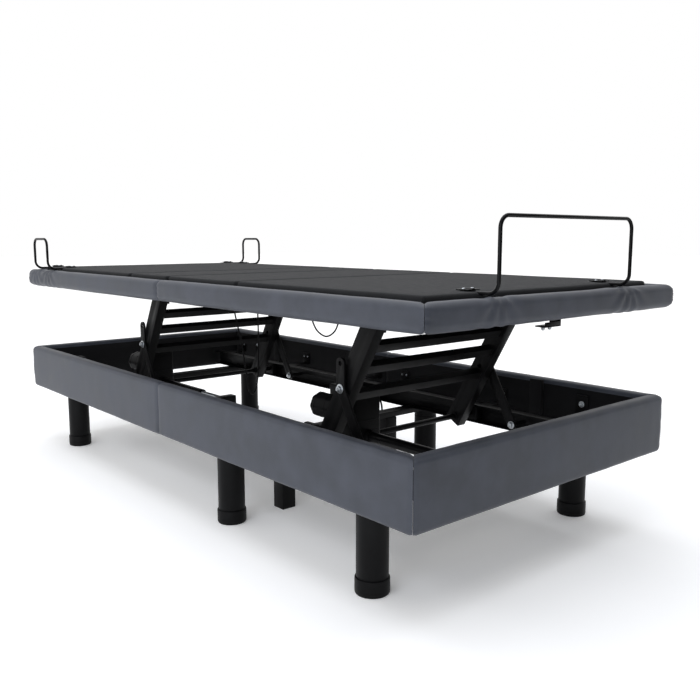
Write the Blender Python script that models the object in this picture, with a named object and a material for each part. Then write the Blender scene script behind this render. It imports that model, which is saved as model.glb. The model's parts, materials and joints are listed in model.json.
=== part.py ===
"""Adjustable bed base: a fixed upholstered surround on six legs, a deck that rises and falls on two
half-scissor lift units, and a four-section mattress platform inside the deck's padded border.

Metres, +Z up, +X towards the foot end, +Y to the left side. The floor is z = 0.
"""

import math

import bmesh
import bpy
from mathutils import Vector

# --- clearances -------------------------------------------------------------------------------
TOUCH = 0.0004
PIN_SLACK = 0.0008
RUNNING_GAP = 0.002

# --- overall sizes ----------------------------------------------------------------------------
SURROUND_LENGTH = 2.030
SURROUND_WIDTH = 0.928
SURROUND_BOTTOM = 0.203
SURROUND_HEIGHT = 0.154
SURROUND_THICKNESS = 0.040
SURROUND_EDGE = 0.014

BORDER_LENGTH = 2.062
BORDER_WIDTH = 0.914
BORDER_BOTTOM = 0.585
BORDER_HEIGHT = 0.061
BORDER_THICKNESS = 0.046
BORDER_EDGE = 0.018
SPLIT_X = 0.0

# --- base frame -------------------------------------------------------------------------------
RAIL_FACE_Y = 0.303
RAIL_DEPTH = 0.030
RAIL_BOTTOM = 0.216
RAIL_HEIGHT = 0.054
RAIL_WALL = 0.003
RAIL_HALF_LENGTH = 0.968
CROSS_TUBE_X = {"head": -0.808, "middle": 0.243, "foot": 0.808}
CROSS_TUBE_WIDTH = 0.040
CROSS_TUBE_HEIGHT = 0.018
CROSS_TUBE_WALL = 0.0025
CROSS_TUBE_BOTTOM = 0.2035
ANCHOR_WIDTH = 0.030
ANCHOR_HEIGHT = 0.046
ANCHOR_BOTTOM = 0.2195
ANCHOR_INNER_REACH = 0.034

# --- legs -------------------------------------------------------------------------------------
LEG_Y = 0.376
LEG_RADIUS = 0.036
LEG_CAP_RADIUS = 0.039
LEG_CAP_HEIGHT = 0.038
LEG_GROOVE_DROP = 0.018
LEG_GROOVE = 0.0015
LEG_SIDES = 24
POST_Y = 0.200
POST_SIDE = 0.044
POST_WALL = 0.002

# --- lift units -------------------------------------------------------------------------------
UNIT_PIVOT_X = {"foot": 0.673, "head": -0.374}
ARM_HALF = 0.183
ARM_ANGLE = math.radians(60.7)
ARM_DEPTH = 0.050
ARM_OUTER_Y = 0.266
ARM_THICKNESS = 0.030
ARM_WALL = 0.003
ARM_TOP_OVERHANG = 0.010
ARM_LOW_OVERHANG = 0.018
ARM_TUBES_BELOW_TOP = (0.061, 0.124)
ARM_TUBE_BELOW_MIDDLE = 0.022
ARM_TUBE_SIDE = 0.022
ARM_TUBE_OFFSET = 0.004
STAY_FACE_Y = 0.2775
STAY_THICKNESS = 0.006
STAY_RADIUS = 0.0145
EAR_LENGTH = 0.062
PIVOT_RADIUS = 0.006
SHAFT_RADIUS = 0.008
BLOCK_LENGTH = 0.050

# --- lift actuators, which ride on the slide shaft --------------------------------------------
LIFT_Y = {"foot": -0.138, "head": -0.180}
LIFT_GEARBOX = (0.070, 0.090, 0.150)
LIFT_GEARBOX_BOTTOM = 0.2175
LIFT_MOTOR_RADIUS = 0.036
LIFT_MOTOR_LENGTH = 0.138
LIFT_MOTOR_RISE = 0.062
LIFT_TUBE_RADIUS = 0.014
LIFT_TUBE_BORE = 0.0105
LIFT_TUBE_RISE = 0.010
LIFT_TUBE_LENGTH = 0.280
LIFT_ROD_RADIUS = 0.009
LIFT_ROD_START = 0.139
LIFT_ANCHOR_PAST_PIVOT = 0.2559

# --- platform ---------------------------------------------------------------------------------
BOARD_TOP = 0.656
BOARD_THICKNESS = 0.025
BOARD_SIDE_GAP = 0.006
BOARD_EDGE = 0.004
BACK_HINGE_X = -0.270
THIGH_HINGE_X = -0.030
KNEE_X = 0.330
HINGE_GAP = 0.008
HINGE_DEPTH = 0.006
BEAM_WIDTH = 0.040
BEAM_HEIGHT = 0.0375
BEAM_WALL = 0.0025
BEAM_DROP = 0.0035
ACTUATOR_BEAM_X = 0.120
HANGER_HALF_WIDTH = 0.018
HANGER_THICKNESS = 0.006

# --- back and leg actuators -------------------------------------------------------------------
CRANK = 0.120
CRANK_PLATE = 0.006
CRANK_HALF_WIDTH = 0.013
BACK_TRAVEL = math.radians(65)
THIGH_TRAVEL = math.radians(35)
BACK_MOTOR_Y = 0.130
LEG_MOTOR_Y = 0.020
HOUSING = (0.140, 0.080, 0.066)
HOUSING_START = 0.050
HOUSING_FLOOR = 0.003
DECK_TUBE_RADIUS = 0.016
DECK_TUBE_BORE = 0.0115
DECK_ROD_RADIUS = 0.010
SLOT_PLATE = (0.028, 0.006, 0.048)
SLOT_SIDE_SLACK = 0.0018

# --- mattress retainers -----------------------------------------------------------------------
WIRE_RADIUS = 0.00425
WIRE_BEND = 0.025
WIRE_LIFT = 0.001
FOOT_RETAINER_HALF = 0.242
FOOT_RETAINER_X = 1.024
FOOT_RETAINER_TOP = 0.805
HEAD_RETAINER_X = (-0.980, -0.830)
HEAD_RETAINER_Y = 0.4525
HEAD_RETAINER_TOP = 0.757
SOCKET_DEPTH = 0.070

# --- electrics --------------------------------------------------------------------------------
CONTROL_BOX = (0.130, 0.110, 0.055)
CONTROL_BOX_AT = (-0.185, -0.105)
POWER_UNIT = (0.200, 0.060, 0.040)
POWER_UNIT_Y = 0.236
POWER_UNIT_BOTTOM = 0.217
CORD_RADIUS = 0.0032
PIGTAIL_RADIUS = 0.0025
PLUG = (0.045, 0.048, 0.036)
COIL_AT = (-0.450, 0.180)
COIL_RADIUS = 0.038
COIL_SECTION = 0.0165
COIL_OUTER_TURN = 0.0446

# --- derived heights and places ---------------------------------------------------------------
SURROUND_TOP = SURROUND_BOTTOM + SURROUND_HEIGHT
BORDER_TOP = BORDER_BOTTOM + BORDER_HEIGHT
PIVOT_Z = RAIL_BOTTOM + RAIL_HEIGHT / 2
BORDER_INNER_Y = BORDER_WIDTH / 2 - BORDER_THICKNESS
BORDER_INNER_X = BORDER_LENGTH / 2 - BORDER_THICKNESS
BOARD_BOTTOM = BOARD_TOP - BOARD_THICKNESS
BOARD_HALF_WIDTH = BORDER_INNER_Y - BOARD_SIDE_GAP
BOARD_END_X = BORDER_INNER_X - BOARD_SIDE_GAP
BEAM_TOP = BOARD_BOTTOM - BEAM_DROP
BEAM_BOTTOM = BEAM_TOP - BEAM_HEIGHT
FOLD_HINGE_Z = BOARD_TOP - HINGE_DEPTH
KNEE_HINGE_Z = BOARD_BOTTOM + HINGE_DEPTH
WIRE_Z = BORDER_TOP + WIRE_RADIUS + WIRE_LIFT
LEG_TOP = CROSS_TUBE_BOTTOM - TOUCH

COLOURS = {
    "leatherette": ((0.090, 0.100, 0.125), 0.45, 0.0),
    "black steel": ((0.012, 0.012, 0.013), 0.40, 0.3),
    "grey steel": ((0.060, 0.062, 0.068), 0.40, 0.3),
    "zinc": ((0.55, 0.56, 0.58), 0.30, 1.0),
    "black plastic": ((0.015, 0.015, 0.016), 0.50, 0.0),
    "black fabric": ((0.020, 0.020, 0.022), 0.90, 0.0),
    "black wire": ((0.010, 0.010, 0.011), 0.25, 0.2),
    "black rubber": ((0.012, 0.012, 0.012), 0.70, 0.0),
}

axes = {}


def clear_scene():
    """Removes everything the file opened with."""
    for item in list(bpy.data.objects):
        bpy.data.objects.remove(item, do_unlink=True)


def material(kind):
    """The named finish as a Principled material, made once."""
    found = bpy.data.materials.get(kind)
    if found:
        return found
    colour, roughness, metallic = COLOURS[kind]
    made = bpy.data.materials.new(kind)
    made.use_nodes = True
    shader = made.node_tree.nodes["Principled BSDF"]
    shader.inputs["Base Color"].default_value = (*colour, 1.0)
    shader.inputs["Roughness"].default_value = roughness
    shader.inputs["Metallic"].default_value = metallic
    return made


def add_axis(name, place, parent=None):
    """An empty on a joint's axis; what moves about it is parented to it."""
    empty = bpy.data.objects.new(name, None)
    bpy.context.scene.collection.objects.link(empty)
    empty.parent = axes.get(parent)
    origin = world_of(parent)
    empty.location = Vector(place) - origin
    axes[name] = empty
    empty["place"] = list(place)


def world_of(axis):
    """Where a named axis stands in the world."""
    if axis is None:
        return Vector((0, 0, 0))
    return Vector(axes[axis]["place"])


def add_object(name, mesh_maker, kind, axis=None):
    """One object from a bmesh drawn in world coordinates, with its origin on its axis."""
    shape = bmesh.new()
    mesh_maker(shape)
    bmesh.ops.recalc_face_normals(shape, faces=shape.faces)
    bmesh.ops.translate(shape, verts=shape.verts, vec=-world_of(axis))
    mesh = bpy.data.meshes.new(name)
    shape.to_mesh(mesh)
    shape.free()
    mesh.materials.append(material(kind))
    made = bpy.data.objects.new(name, mesh)
    bpy.context.scene.collection.objects.link(made)
    made.parent = axes.get(axis)
    return made


def smooth(made):
    """Rounded faces shade smooth, and edges over 35 degrees stay sharp."""
    made.data.shade_smooth()
    made.data.set_sharp_from_angle(angle=math.radians(35))


def joined(target, helper, operation):
    """Joins or cuts with a hidden helper, through an exact Boolean."""
    helper.hide_render = True
    helper.display_type = "WIRE"
    step = target.modifiers.new(helper.name, "BOOLEAN")
    step.operation = operation
    step.object = helper
    return target


def draw_box(low, high):
    """A box between two corners."""

    def draw(shape):
        size = Vector(high) - Vector(low)
        middle = (Vector(high) + Vector(low)) / 2
        made = bmesh.ops.create_cube(shape, size=1)["verts"]
        bmesh.ops.scale(shape, verts=made, vec=size)
        bmesh.ops.translate(shape, verts=made, vec=middle)

    return draw


def draw_rounded_box(low, high, radius, segments=2):
    """A box with every edge rounded."""

    def draw(shape):
        draw_box(low, high)(shape)
        bmesh.ops.bevel(
            shape, geom=list(shape.edges), offset=radius, segments=segments, profile=0.5, affect="EDGES"
        )

    return draw


def draw_prism(outline, axis, start, end):
    """An outline of (u, v) points, extruded along X, Y or Z from start to end."""
    placed = {
        "x": lambda u, v, w: (w, u, v),
        "y": lambda u, v, w: (u, w, v),
        "z": lambda u, v, w: (u, v, w),
    }[axis]

    def draw(shape):
        ring = [shape.verts.new(placed(u, v, start)) for u, v in outline]
        face = shape.faces.new(ring)
        moved = bmesh.ops.extrude_face_region(shape, geom=[face])["geom"]
        top = [item for item in moved if isinstance(item, bmesh.types.BMVert)]
        bmesh.ops.translate(shape, verts=top, vec=Vector(placed(0, 0, end - start)))

    return draw


def draw_rod(start, end, radius, sides=16):
    """A round bar from one point to another."""

    def draw(shape):
        start_at = Vector(start)
        along = Vector(end) - start_at
        made = bmesh.ops.create_cone(
            shape, cap_ends=True, segments=sides, radius1=radius, radius2=radius, depth=along.length
        )["verts"]
        turn = Vector((0, 0, 1)).rotation_difference(along).to_matrix()
        bmesh.ops.rotate(shape, verts=made, matrix=turn, cent=(0, 0, 0))
        bmesh.ops.translate(shape, verts=made, vec=start_at + along / 2)

    return draw


def draw_turned(profile, centre, sides):
    """A profile of (radius, height) points, from the bottom up, turned about a vertical line."""

    def draw(shape):
        rings = []
        for radius, height in profile:
            ring = []
            for step in range(sides):
                angle = 2 * math.pi * step / sides
                x = centre[0] + radius * math.cos(angle)
                y = centre[1] + radius * math.sin(angle)
                ring.append(shape.verts.new((x, y, height)))
            rings.append(ring)
        for lower, upper in zip(rings, rings[1:]):
            for step in range(sides):
                after = (step + 1) % sides
                shape.faces.new((lower[step], lower[after], upper[after], upper[step]))
        shape.faces.new(list(reversed(rings[0])))
        shape.faces.new(rings[-1])

    return draw


def capsule(start, end, radius, steps=8):
    """The outline of a flat bar with round ends, between two (x, z) points."""
    heading = math.atan2(end[1] - start[1], end[0] - start[0])
    points = []
    for centre, first in ((end, heading - math.pi / 2), (start, heading + math.pi / 2)):
        for step in range(steps + 1):
            angle = first + math.pi * step / steps
            points.append((centre[0] + radius * math.cos(angle), centre[1] + radius * math.sin(angle)))
    return points


def strip(start, end, half_width, before=0.0, after=0.0):
    """The outline of a straight square-ended bar along two (x, z) points, with an overhang at each end."""
    along = (Vector(end) - Vector(start)).normalized()
    side = Vector((-along.y, along.x)) * half_width
    low = Vector(start) - along * before
    high = Vector(end) + along * after
    return [tuple(low - side), tuple(high - side), tuple(high + side), tuple(low + side)]


def unit_points(unit):
    """The three pivots of a lift unit, as (x, z): on the base, in the middle and at the top."""
    x = UNIT_PIVOT_X[unit]
    reach = ARM_HALF * math.cos(ARM_ANGLE)
    rise = ARM_HALF * math.sin(ARM_ANGLE)
    base = (x, PIVOT_Z)
    middle = (x - reach, PIVOT_Z + rise)
    top = (x, PIVOT_Z + 2 * rise)
    slide = (x - 2 * reach, PIVOT_Z)
    return base, middle, top, slide


def add_axes():
    """One empty on each joint's axis, in the order of the moving bodies."""
    for unit in ("foot", "head"):
        base, middle, top, slide = unit_points(unit)
        add_axis(f"{unit}_stay_axis", (base[0], 0, base[1]))
        add_axis(f"{unit}_arm_axis", (middle[0], 0, middle[1]), f"{unit}_stay_axis")
        add_axis(f"{unit}_slide_axis", (slide[0], 0, slide[1]), f"{unit}_arm_axis")
    top = unit_points("foot")[2]
    add_axis("deck_axis", (top[0], 0, top[1]), "foot_arm_axis")
    add_axis("back_axis", (BACK_HINGE_X, 0, FOLD_HINGE_Z), "deck_axis")
    add_axis("thigh_axis", (THIGH_HINGE_X, 0, FOLD_HINGE_Z), "deck_axis")
    add_axis("knee_axis", (KNEE_X, 0, KNEE_HINGE_Z), "thigh_axis")


def side_plan(length, width, thickness, side, end):
    """Plan outline of half a side rail: mitred at its end of the bed, square at the middle."""
    outer = width / 2
    inner = outer - thickness
    tip = length / 2
    stop = SPLIT_X * end + TOUCH / 2
    mitre = TOUCH
    corners = [
        (stop, outer),
        (tip - mitre, outer),
        (tip - thickness - mitre, inner),
        (stop, inner),
    ]
    return [(x * end, y * side) for x, y in corners]


def end_plan(length, width, thickness, end):
    """Plan outline of an end rail, mitred at both corners."""
    outer = length / 2
    inner = outer - thickness
    half = width / 2
    corners = [
        (outer, -half + TOUCH),
        (outer, half - TOUCH),
        (inner, half - thickness - TOUCH),
        (inner, -half + thickness + TOUCH),
    ]
    return [(x * end, y) for x, y in corners]


def draw_padded_rail(outline, bottom, height, radius, long_axis):
    """A rail drawn from its plan, with its four long edges rounded."""

    def draw(shape):
        draw_prism(outline, "z", bottom, bottom + height)(shape)
        long_edges = []
        for edge in shape.edges:
            along = edge.verts[1].co - edge.verts[0].co
            if abs(along[long_axis]) > 0.9 * along.length:
                long_edges.append(edge)
        bmesh.ops.bevel(shape, geom=long_edges, offset=radius, segments=3, profile=0.5, affect="EDGES")

    return draw


def add_upholstered_ring(prefix, length, width, thickness, bottom, height, radius, axis):
    """Six padded rails round the bed: two ends, and each side in a head half and a foot half."""
    for side_name, side in (("right", -1), ("left", 1)):
        for end_name, end in (("head", -1), ("foot", 1)):
            outline = side_plan(length, width, thickness, side, end)
            draw = draw_padded_rail(outline, bottom, height, radius, 0)
            smooth(add_object(f"{prefix}_{side_name}_{end_name}", draw, "leatherette", axis))
    for end_name, end in (("head", -1), ("foot", 1)):
        outline = end_plan(length, width, thickness, end)
        draw = draw_padded_rail(outline, bottom, height, radius, 1)
        smooth(add_object(f"{prefix}_{end_name}_end", draw, "leatherette", axis))


def add_base_rails():
    """Two channels along the bed, open towards the middle, with the stays' pivot studs on them."""
    top = RAIL_BOTTOM + RAIL_HEIGHT
    face = RAIL_FACE_Y
    back = RAIL_FACE_Y + RAIL_DEPTH
    profile = [
        (face, RAIL_BOTTOM),
        (back, RAIL_BOTTOM),
        (back, top),
        (face, top),
        (face, top - RAIL_WALL),
        (back - RAIL_WALL, top - RAIL_WALL),
        (back - RAIL_WALL, RAIL_BOTTOM + RAIL_WALL),
        (face, RAIL_BOTTOM + RAIL_WALL),
    ]
    for side_name, side in (("right", -1), ("left", 1)):
        name = f"base_rail_{side_name}"
        outline = [(y * side, z) for y, z in profile]
        rail = add_object(name, draw_prism(outline, "x", -RAIL_HALF_LENGTH, RAIL_HALF_LENGTH), "black steel")
        for unit, x in UNIT_PIVOT_X.items():
            inner = STAY_FACE_Y - STAY_THICKNESS - TOUCH
            draw = draw_rod((x, side * inner, PIVOT_Z), (x, side * (back - RAIL_WALL / 2), PIVOT_Z), PIVOT_RADIUS)
            joined(rail, add_object(f"{name}_{unit}_stud", draw, "zinc"), "UNION")
        for place, x in CROSS_TUBE_X.items():
            low_y, high_y = sorted((side * (face - RAIL_WALL), side * (back + RAIL_WALL)))
            low = (x - CROSS_TUBE_WIDTH / 2 - TOUCH, low_y, CROSS_TUBE_BOTTOM - TOUCH)
            high = (x + CROSS_TUBE_WIDTH / 2 + TOUCH, high_y, CROSS_TUBE_BOTTOM + CROSS_TUBE_HEIGHT + TOUCH)
            joined(rail, add_object(f"{name}_{place}_opening", draw_box(low, high), "zinc"), "DIFFERENCE")


def add_box_tube(name, low, high, wall, along, kind, axis=None):
    """A rectangular tube, open at both ends along one axis (0, 1 or 2)."""
    tube = add_object(name, draw_box(low, high), kind, axis)
    inner_low = [value + wall for value in low]
    inner_high = [value - wall for value in high]
    inner_low[along] = low[along] - wall
    inner_high[along] = high[along] + wall
    joined(tube, add_object(f"{name}_bore", draw_box(inner_low, inner_high), kind, axis), "DIFFERENCE")
    return tube


def add_cross_tubes():
    """Three tubes through the rails, which carry the legs, and the two brackets that hold the lift rods."""
    half = SURROUND_WIDTH / 2 - SURROUND_THICKNESS - TOUCH
    top = CROSS_TUBE_BOTTOM + CROSS_TUBE_HEIGHT
    for place, x in CROSS_TUBE_X.items():
        low = (x - CROSS_TUBE_WIDTH / 2, -half, CROSS_TUBE_BOTTOM)
        high = (x + CROSS_TUBE_WIDTH / 2, half, top)
        add_box_tube(f"cross_tube_{place}", low, high, CROSS_TUBE_WALL, 1, "black steel")
    reach = RAIL_FACE_Y - TOUCH
    for unit in UNIT_PIVOT_X:
        start = anchor_face(unit)
        low = (start, -reach, ANCHOR_BOTTOM)
        high = (start + ANCHOR_WIDTH, LIFT_Y[unit] + ANCHOR_INNER_REACH, ANCHOR_BOTTOM + ANCHOR_HEIGHT)
        add_box_tube(f"{unit}_rod_anchor", low, high, CROSS_TUBE_WALL, 1, "black steel")


def anchor_face(unit):
    """The x of the face that a lift unit's rod is fixed to."""
    return UNIT_PIVOT_X[unit] + LIFT_ANCHOR_PAST_PIVOT


def add_legs():
    """Six round legs with a wider foot, and two square posts under the middle tube."""
    groove = SURROUND_BOTTOM - LEG_GROOVE_DROP
    profile = [
        (LEG_CAP_RADIUS - LEG_GROOVE, 0.0),
        (LEG_CAP_RADIUS, LEG_GROOVE),
        (LEG_CAP_RADIUS, LEG_CAP_HEIGHT - LEG_GROOVE),
        (LEG_RADIUS, LEG_CAP_HEIGHT),
        (LEG_RADIUS, groove - LEG_GROOVE),
        (LEG_RADIUS - LEG_GROOVE, groove - LEG_GROOVE / 2),
        (LEG_RADIUS - LEG_GROOVE, groove + LEG_GROOVE / 2),
        (LEG_RADIUS, groove + LEG_GROOVE),
        (LEG_RADIUS, LEG_TOP),
    ]
    for place, x in CROSS_TUBE_X.items():
        for side_name, side in (("right", -1), ("left", 1)):
            draw = draw_turned(profile, (x, side * LEG_Y), LEG_SIDES)
            smooth(add_object(f"leg_{place}_{side_name}", draw, "black plastic"))
    x = CROSS_TUBE_X["middle"]
    for side_name, side in (("right", -1), ("left", 1)):
        low = (x - POST_SIDE / 2, side * POST_Y - POST_SIDE / 2, 0.0)
        high = (x + POST_SIDE / 2, side * POST_Y + POST_SIDE / 2, LEG_TOP)
        add_box_tube(f"centre_post_{side_name}", low, high, POST_WALL, 2, "black steel")


def add_stays(unit):
    """The two flat stays of a lift unit; the right one has an ear that stands above its middle pivot."""
    base, middle, _, _ = unit_points(unit)
    axis = f"{unit}_stay_axis"
    for side_name, side in (("right", -1), ("left", 1)):
        name = f"{unit}_stay_{side_name}"
        outer = side * STAY_FACE_Y
        inner = side * (STAY_FACE_Y - STAY_THICKNESS)
        near, far = sorted((inner, outer))
        stay = add_object(name, draw_prism(capsule(base, middle, STAY_RADIUS), "y", near, far), "black steel", axis)
        if side < 0:
            tip = (middle[0], middle[1] + EAR_LENGTH)
            ear = add_object(f"{name}_ear", draw_prism(capsule(middle, tip, STAY_RADIUS), "y", near, far), "zinc", axis)
            joined(stay, ear, "UNION")
            hole = draw_rod((tip[0], outer * 1.1, tip[1]), (tip[0], inner * 0.9, tip[1]), PIVOT_RADIUS)
            joined(stay, add_object(f"{name}_ear_hole", hole, "zinc", axis), "DIFFERENCE")
        end = side * (ARM_OUTER_Y - ARM_WALL - RUNNING_GAP)
        start = side * (STAY_FACE_Y - STAY_THICKNESS / 2)
        stud = draw_rod((middle[0], start, middle[1]), (middle[0], end, middle[1]), PIVOT_RADIUS)
        joined(stay, add_object(f"{name}_stud", stud, "zinc", axis), "UNION")
        hole = draw_rod(
            (base[0], outer * 1.1, base[1]), (base[0], inner * 0.9, base[1]), PIVOT_RADIUS + PIN_SLACK
        )
        joined(stay, add_object(f"{name}_eye", hole, "zinc", axis), "DIFFERENCE")


def add_arm_frame(unit):
    """The welded frame of a lift unit: two box arms joined by three cross tubes."""
    _, middle, top, slide = unit_points(unit)
    axis = f"{unit}_arm_axis"
    name = f"{unit}_arm_frame"
    inner = ARM_OUTER_Y - ARM_THICKNESS
    along = (Vector(top) - Vector(slide)).normalized()
    across = Vector((along.y, -along.x))
    outline = strip(slide, top, ARM_DEPTH / 2, ARM_LOW_OVERHANG, ARM_TOP_OVERHANG)
    frame = add_object(name, draw_prism(outline, "y", inner, ARM_OUTER_Y), "black steel", axis)
    other = add_object(f"{name}_right", draw_prism(outline, "y", -ARM_OUTER_Y, -inner), "black steel", axis)
    distances = [ARM_HALF - below for below in ARM_TUBES_BELOW_TOP]
    for number, distance in enumerate(distances + [-ARM_TUBE_BELOW_MIDDLE]):
        centre = Vector(middle) + along * distance + across * ARM_TUBE_OFFSET
        low = centre - along * ARM_TUBE_SIDE / 2
        high = centre + along * ARM_TUBE_SIDE / 2
        bar = strip(low, high, ARM_TUBE_SIDE / 2)
        reach = inner + ARM_WALL / 2
        tube = add_object(f"{name}_tube_{number}", draw_prism(bar, "y", -reach, reach), "black steel", axis)
        joined(frame, tube, "UNION")
    joined(frame, other, "UNION")
    bore = strip(slide, top, ARM_DEPTH / 2 - ARM_WALL, 2 * ARM_LOW_OVERHANG, 2 * ARM_TOP_OVERHANG)
    for side_name, side in (("right", -1), ("left", 1)):
        near, far = sorted((side * (inner + ARM_WALL), side * (ARM_OUTER_Y - ARM_WALL)))
        hollow = draw_prism(bore, "y", near, far)
        joined(frame, add_object(f"{name}_bore_{side_name}", hollow, "zinc", axis), "DIFFERENCE")
    holes = ((middle, PIVOT_RADIUS), (top, PIVOT_RADIUS), (slide, SHAFT_RADIUS))
    for number, (point, radius) in enumerate(holes):
        draw = draw_rod((point[0], -RAIL_FACE_Y, point[1]), (point[0], RAIL_FACE_Y, point[1]), radius + PIN_SLACK)
        joined(frame, add_object(f"{name}_hole_{number}", draw, "zinc", axis), "DIFFERENCE")


def add_slide(unit):
    """The shaft at the foot of the arms, with a plastic block on each end that runs in the rails."""
    slide = unit_points(unit)[3]
    axis = f"{unit}_slide_axis"
    name = f"{unit}_slide_shaft"
    stop = RAIL_FACE_Y + RAIL_DEPTH - RAIL_WALL - RUNNING_GAP
    shaft = add_object(
        name, draw_rod((slide[0], -stop, slide[1]), (slide[0], stop, slide[1]), SHAFT_RADIUS), "zinc", axis
    )
    height = RAIL_HEIGHT / 2 - RAIL_WALL - RUNNING_GAP
    for side_name, side in (("right", -1), ("left", 1)):
        near, far = sorted((side * (RAIL_FACE_Y + RUNNING_GAP), side * stop))
        low = (slide[0] - BLOCK_LENGTH / 2, near, slide[1] - height)
        high = (slide[0] + BLOCK_LENGTH / 2, far, slide[1] + height)
        joined(shaft, add_object(f"{name}_block_{side_name}", draw_box(low, high), "black plastic", axis), "UNION")


def add_lift_actuator(unit):
    """A gearbox on the slide shaft with its motor and its tube, and the rod fixed to the base."""
    slide = unit_points(unit)[3]
    axis = f"{unit}_slide_axis"
    name = f"{unit}_lift_actuator"
    y = LIFT_Y[unit]
    length, width, height = LIFT_GEARBOX
    low = (slide[0] - length / 2, y - width / 2, LIFT_GEARBOX_BOTTOM)
    high = (slide[0] + length / 2, y + width / 2, LIFT_GEARBOX_BOTTOM + height)
    gearbox = add_object(name, draw_box(low, high), "black plastic", axis)
    motor_z = slide[1] + LIFT_MOTOR_RISE
    motor = draw_rod(
        (low[0] + LIFT_TUBE_RADIUS, y, motor_z),
        (low[0] - LIFT_MOTOR_LENGTH, y, motor_z),
        LIFT_MOTOR_RADIUS,
        8,
    )
    joined(gearbox, add_object(f"{name}_motor", motor, "black plastic", axis), "UNION")
    mouth = high[0] + LIFT_TUBE_LENGTH
    tube_z = slide[1] + LIFT_TUBE_RISE
    tube = draw_rod((high[0] - LIFT_TUBE_RADIUS, y, tube_z), (mouth, y, tube_z), LIFT_TUBE_RADIUS)
    joined(gearbox, add_object(f"{name}_tube", tube, "grey steel", axis), "UNION")
    bore = draw_rod((high[0], y, tube_z), (mouth + LIFT_TUBE_RADIUS, y, tube_z), LIFT_TUBE_BORE)
    joined(gearbox, add_object(f"{name}_bore", bore, "grey steel", axis), "DIFFERENCE")
    hole = draw_rod(
        (slide[0], low[1] - PIVOT_RADIUS, slide[1]), (slide[0], high[1] + PIVOT_RADIUS, slide[1]), SHAFT_RADIUS + TOUCH
    )
    joined(gearbox, add_object(f"{name}_shaft_hole", hole, "grey steel", axis), "DIFFERENCE")
    rod_start = (slide[0] + LIFT_ROD_START, y, tube_z)
    rod_end = (anchor_face(unit) - TOUCH, y, tube_z)
    smooth(add_object(f"{unit}_lift_rod", draw_rod(rod_start, rod_end, LIFT_ROD_RADIUS), "zinc"))


def add_beams():
    """Cross beams of the deck: one above each lift unit with its hangers, and one for the two deck actuators."""
    half = BORDER_INNER_Y - TOUCH
    for unit in UNIT_PIVOT_X:
        top = unit_points(unit)[2]
        low = (top[0] - BEAM_WIDTH / 2, -half, BEAM_BOTTOM)
        high = (top[0] + BEAM_WIDTH / 2, half, BEAM_TOP)
        name = f"{unit}_deck_beam"
        beam = add_box_tube(name, low, high, BEAM_WALL, 1, "grey steel", "deck_axis")
        for side_name, side in (("right", -1), ("left", 1)):
            outer = ARM_OUTER_Y - ARM_THICKNESS - RUNNING_GAP
            near, far = sorted((side * (outer - HANGER_THICKNESS), side * outer))
            root = (top[0], BEAM_BOTTOM + BEAM_WALL / 2)
            hanger = draw_prism(strip(top, root, HANGER_HALF_WIDTH, HANGER_HALF_WIDTH), "y", near, far)
            part = add_object(f"{name}_hanger_{side_name}", hanger, "grey steel", "deck_axis")
            joined(beam, part, "UNION")
            pin_end = side * (ARM_OUTER_Y - ARM_WALL - RUNNING_GAP)
            pin_start = side * (outer - HANGER_THICKNESS / 2)
            pin = draw_rod((top[0], pin_start, top[1]), (top[0], pin_end, top[1]), PIVOT_RADIUS)
            joined(beam, add_object(f"{name}_pin_{side_name}", pin, "zinc", "deck_axis"), "UNION")
    low = (ACTUATOR_BEAM_X - BEAM_WIDTH / 2, -half, BEAM_BOTTOM)
    high = (ACTUATOR_BEAM_X + BEAM_WIDTH / 2, half, BEAM_TOP)
    add_box_tube("actuator_beam", low, high, BEAM_WALL, 1, "grey steel", "deck_axis")


def add_board(name, start, end, axis):
    """One flat padded section of the platform."""
    low = (start, -BOARD_HALF_WIDTH, BOARD_BOTTOM)
    high = (end, BOARD_HALF_WIDTH, BOARD_TOP)
    return add_object(name, draw_rounded_box(low, high, BOARD_EDGE), "black fabric", axis)


def add_crank(board, hinge_x, start_angle, root, middle_y, axis):
    """A plate under a board that an actuator's rod pushes: it hangs from the board and ends in a pin."""
    pin = (hinge_x + CRANK * math.sin(start_angle), FOLD_HINGE_Z - CRANK * math.cos(start_angle))
    side = middle_y + DECK_TUBE_RADIUS + RUNNING_GAP
    plate = strip(pin, (root, BOARD_BOTTOM + BOARD_EDGE), CRANK_HALF_WIDTH, CRANK_HALF_WIDTH)
    name = f"{board.name}_crank"
    joined(board, add_object(name, draw_prism(plate, "y", side, side + CRANK_PLATE), "black steel", axis), "UNION")
    draw = draw_rod(
        (pin[0], side + CRANK_PLATE / 2, pin[1]), (pin[0], middle_y - SLOT_PLATE[1] / 2 - RUNNING_GAP, pin[1]),
        PIVOT_RADIUS,
    )
    joined(board, add_object(f"{name}_pin", draw, "zinc", axis), "UNION")
    return pin


def add_platform():
    """Back, seat, thigh and foot sections, with the cranks of the two that are driven."""
    gap = HINGE_GAP / 2
    back = add_board("back_section", -BOARD_END_X, BACK_HINGE_X - gap, "back_axis")
    add_board("seat_section", BACK_HINGE_X + gap, THIGH_HINGE_X - gap, "deck_axis")
    thigh = add_board("thigh_section", THIGH_HINGE_X + gap, KNEE_X - gap, "thigh_axis")
    foot = add_board("foot_section", KNEE_X + gap, BOARD_END_X, "knee_axis")
    root = BACK_HINGE_X - gap - 2 * CRANK_HALF_WIDTH
    back_pin = add_crank(back, BACK_HINGE_X, BACK_TRAVEL / 2, root, BACK_MOTOR_Y, "back_axis")
    root = THIGH_HINGE_X + gap + 2 * CRANK_HALF_WIDTH
    thigh_pin = add_crank(thigh, THIGH_HINGE_X, -THIGH_TRAVEL / 2, root, LEG_MOTOR_Y, "thigh_axis")
    return back, foot, back_pin, thigh_pin


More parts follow.
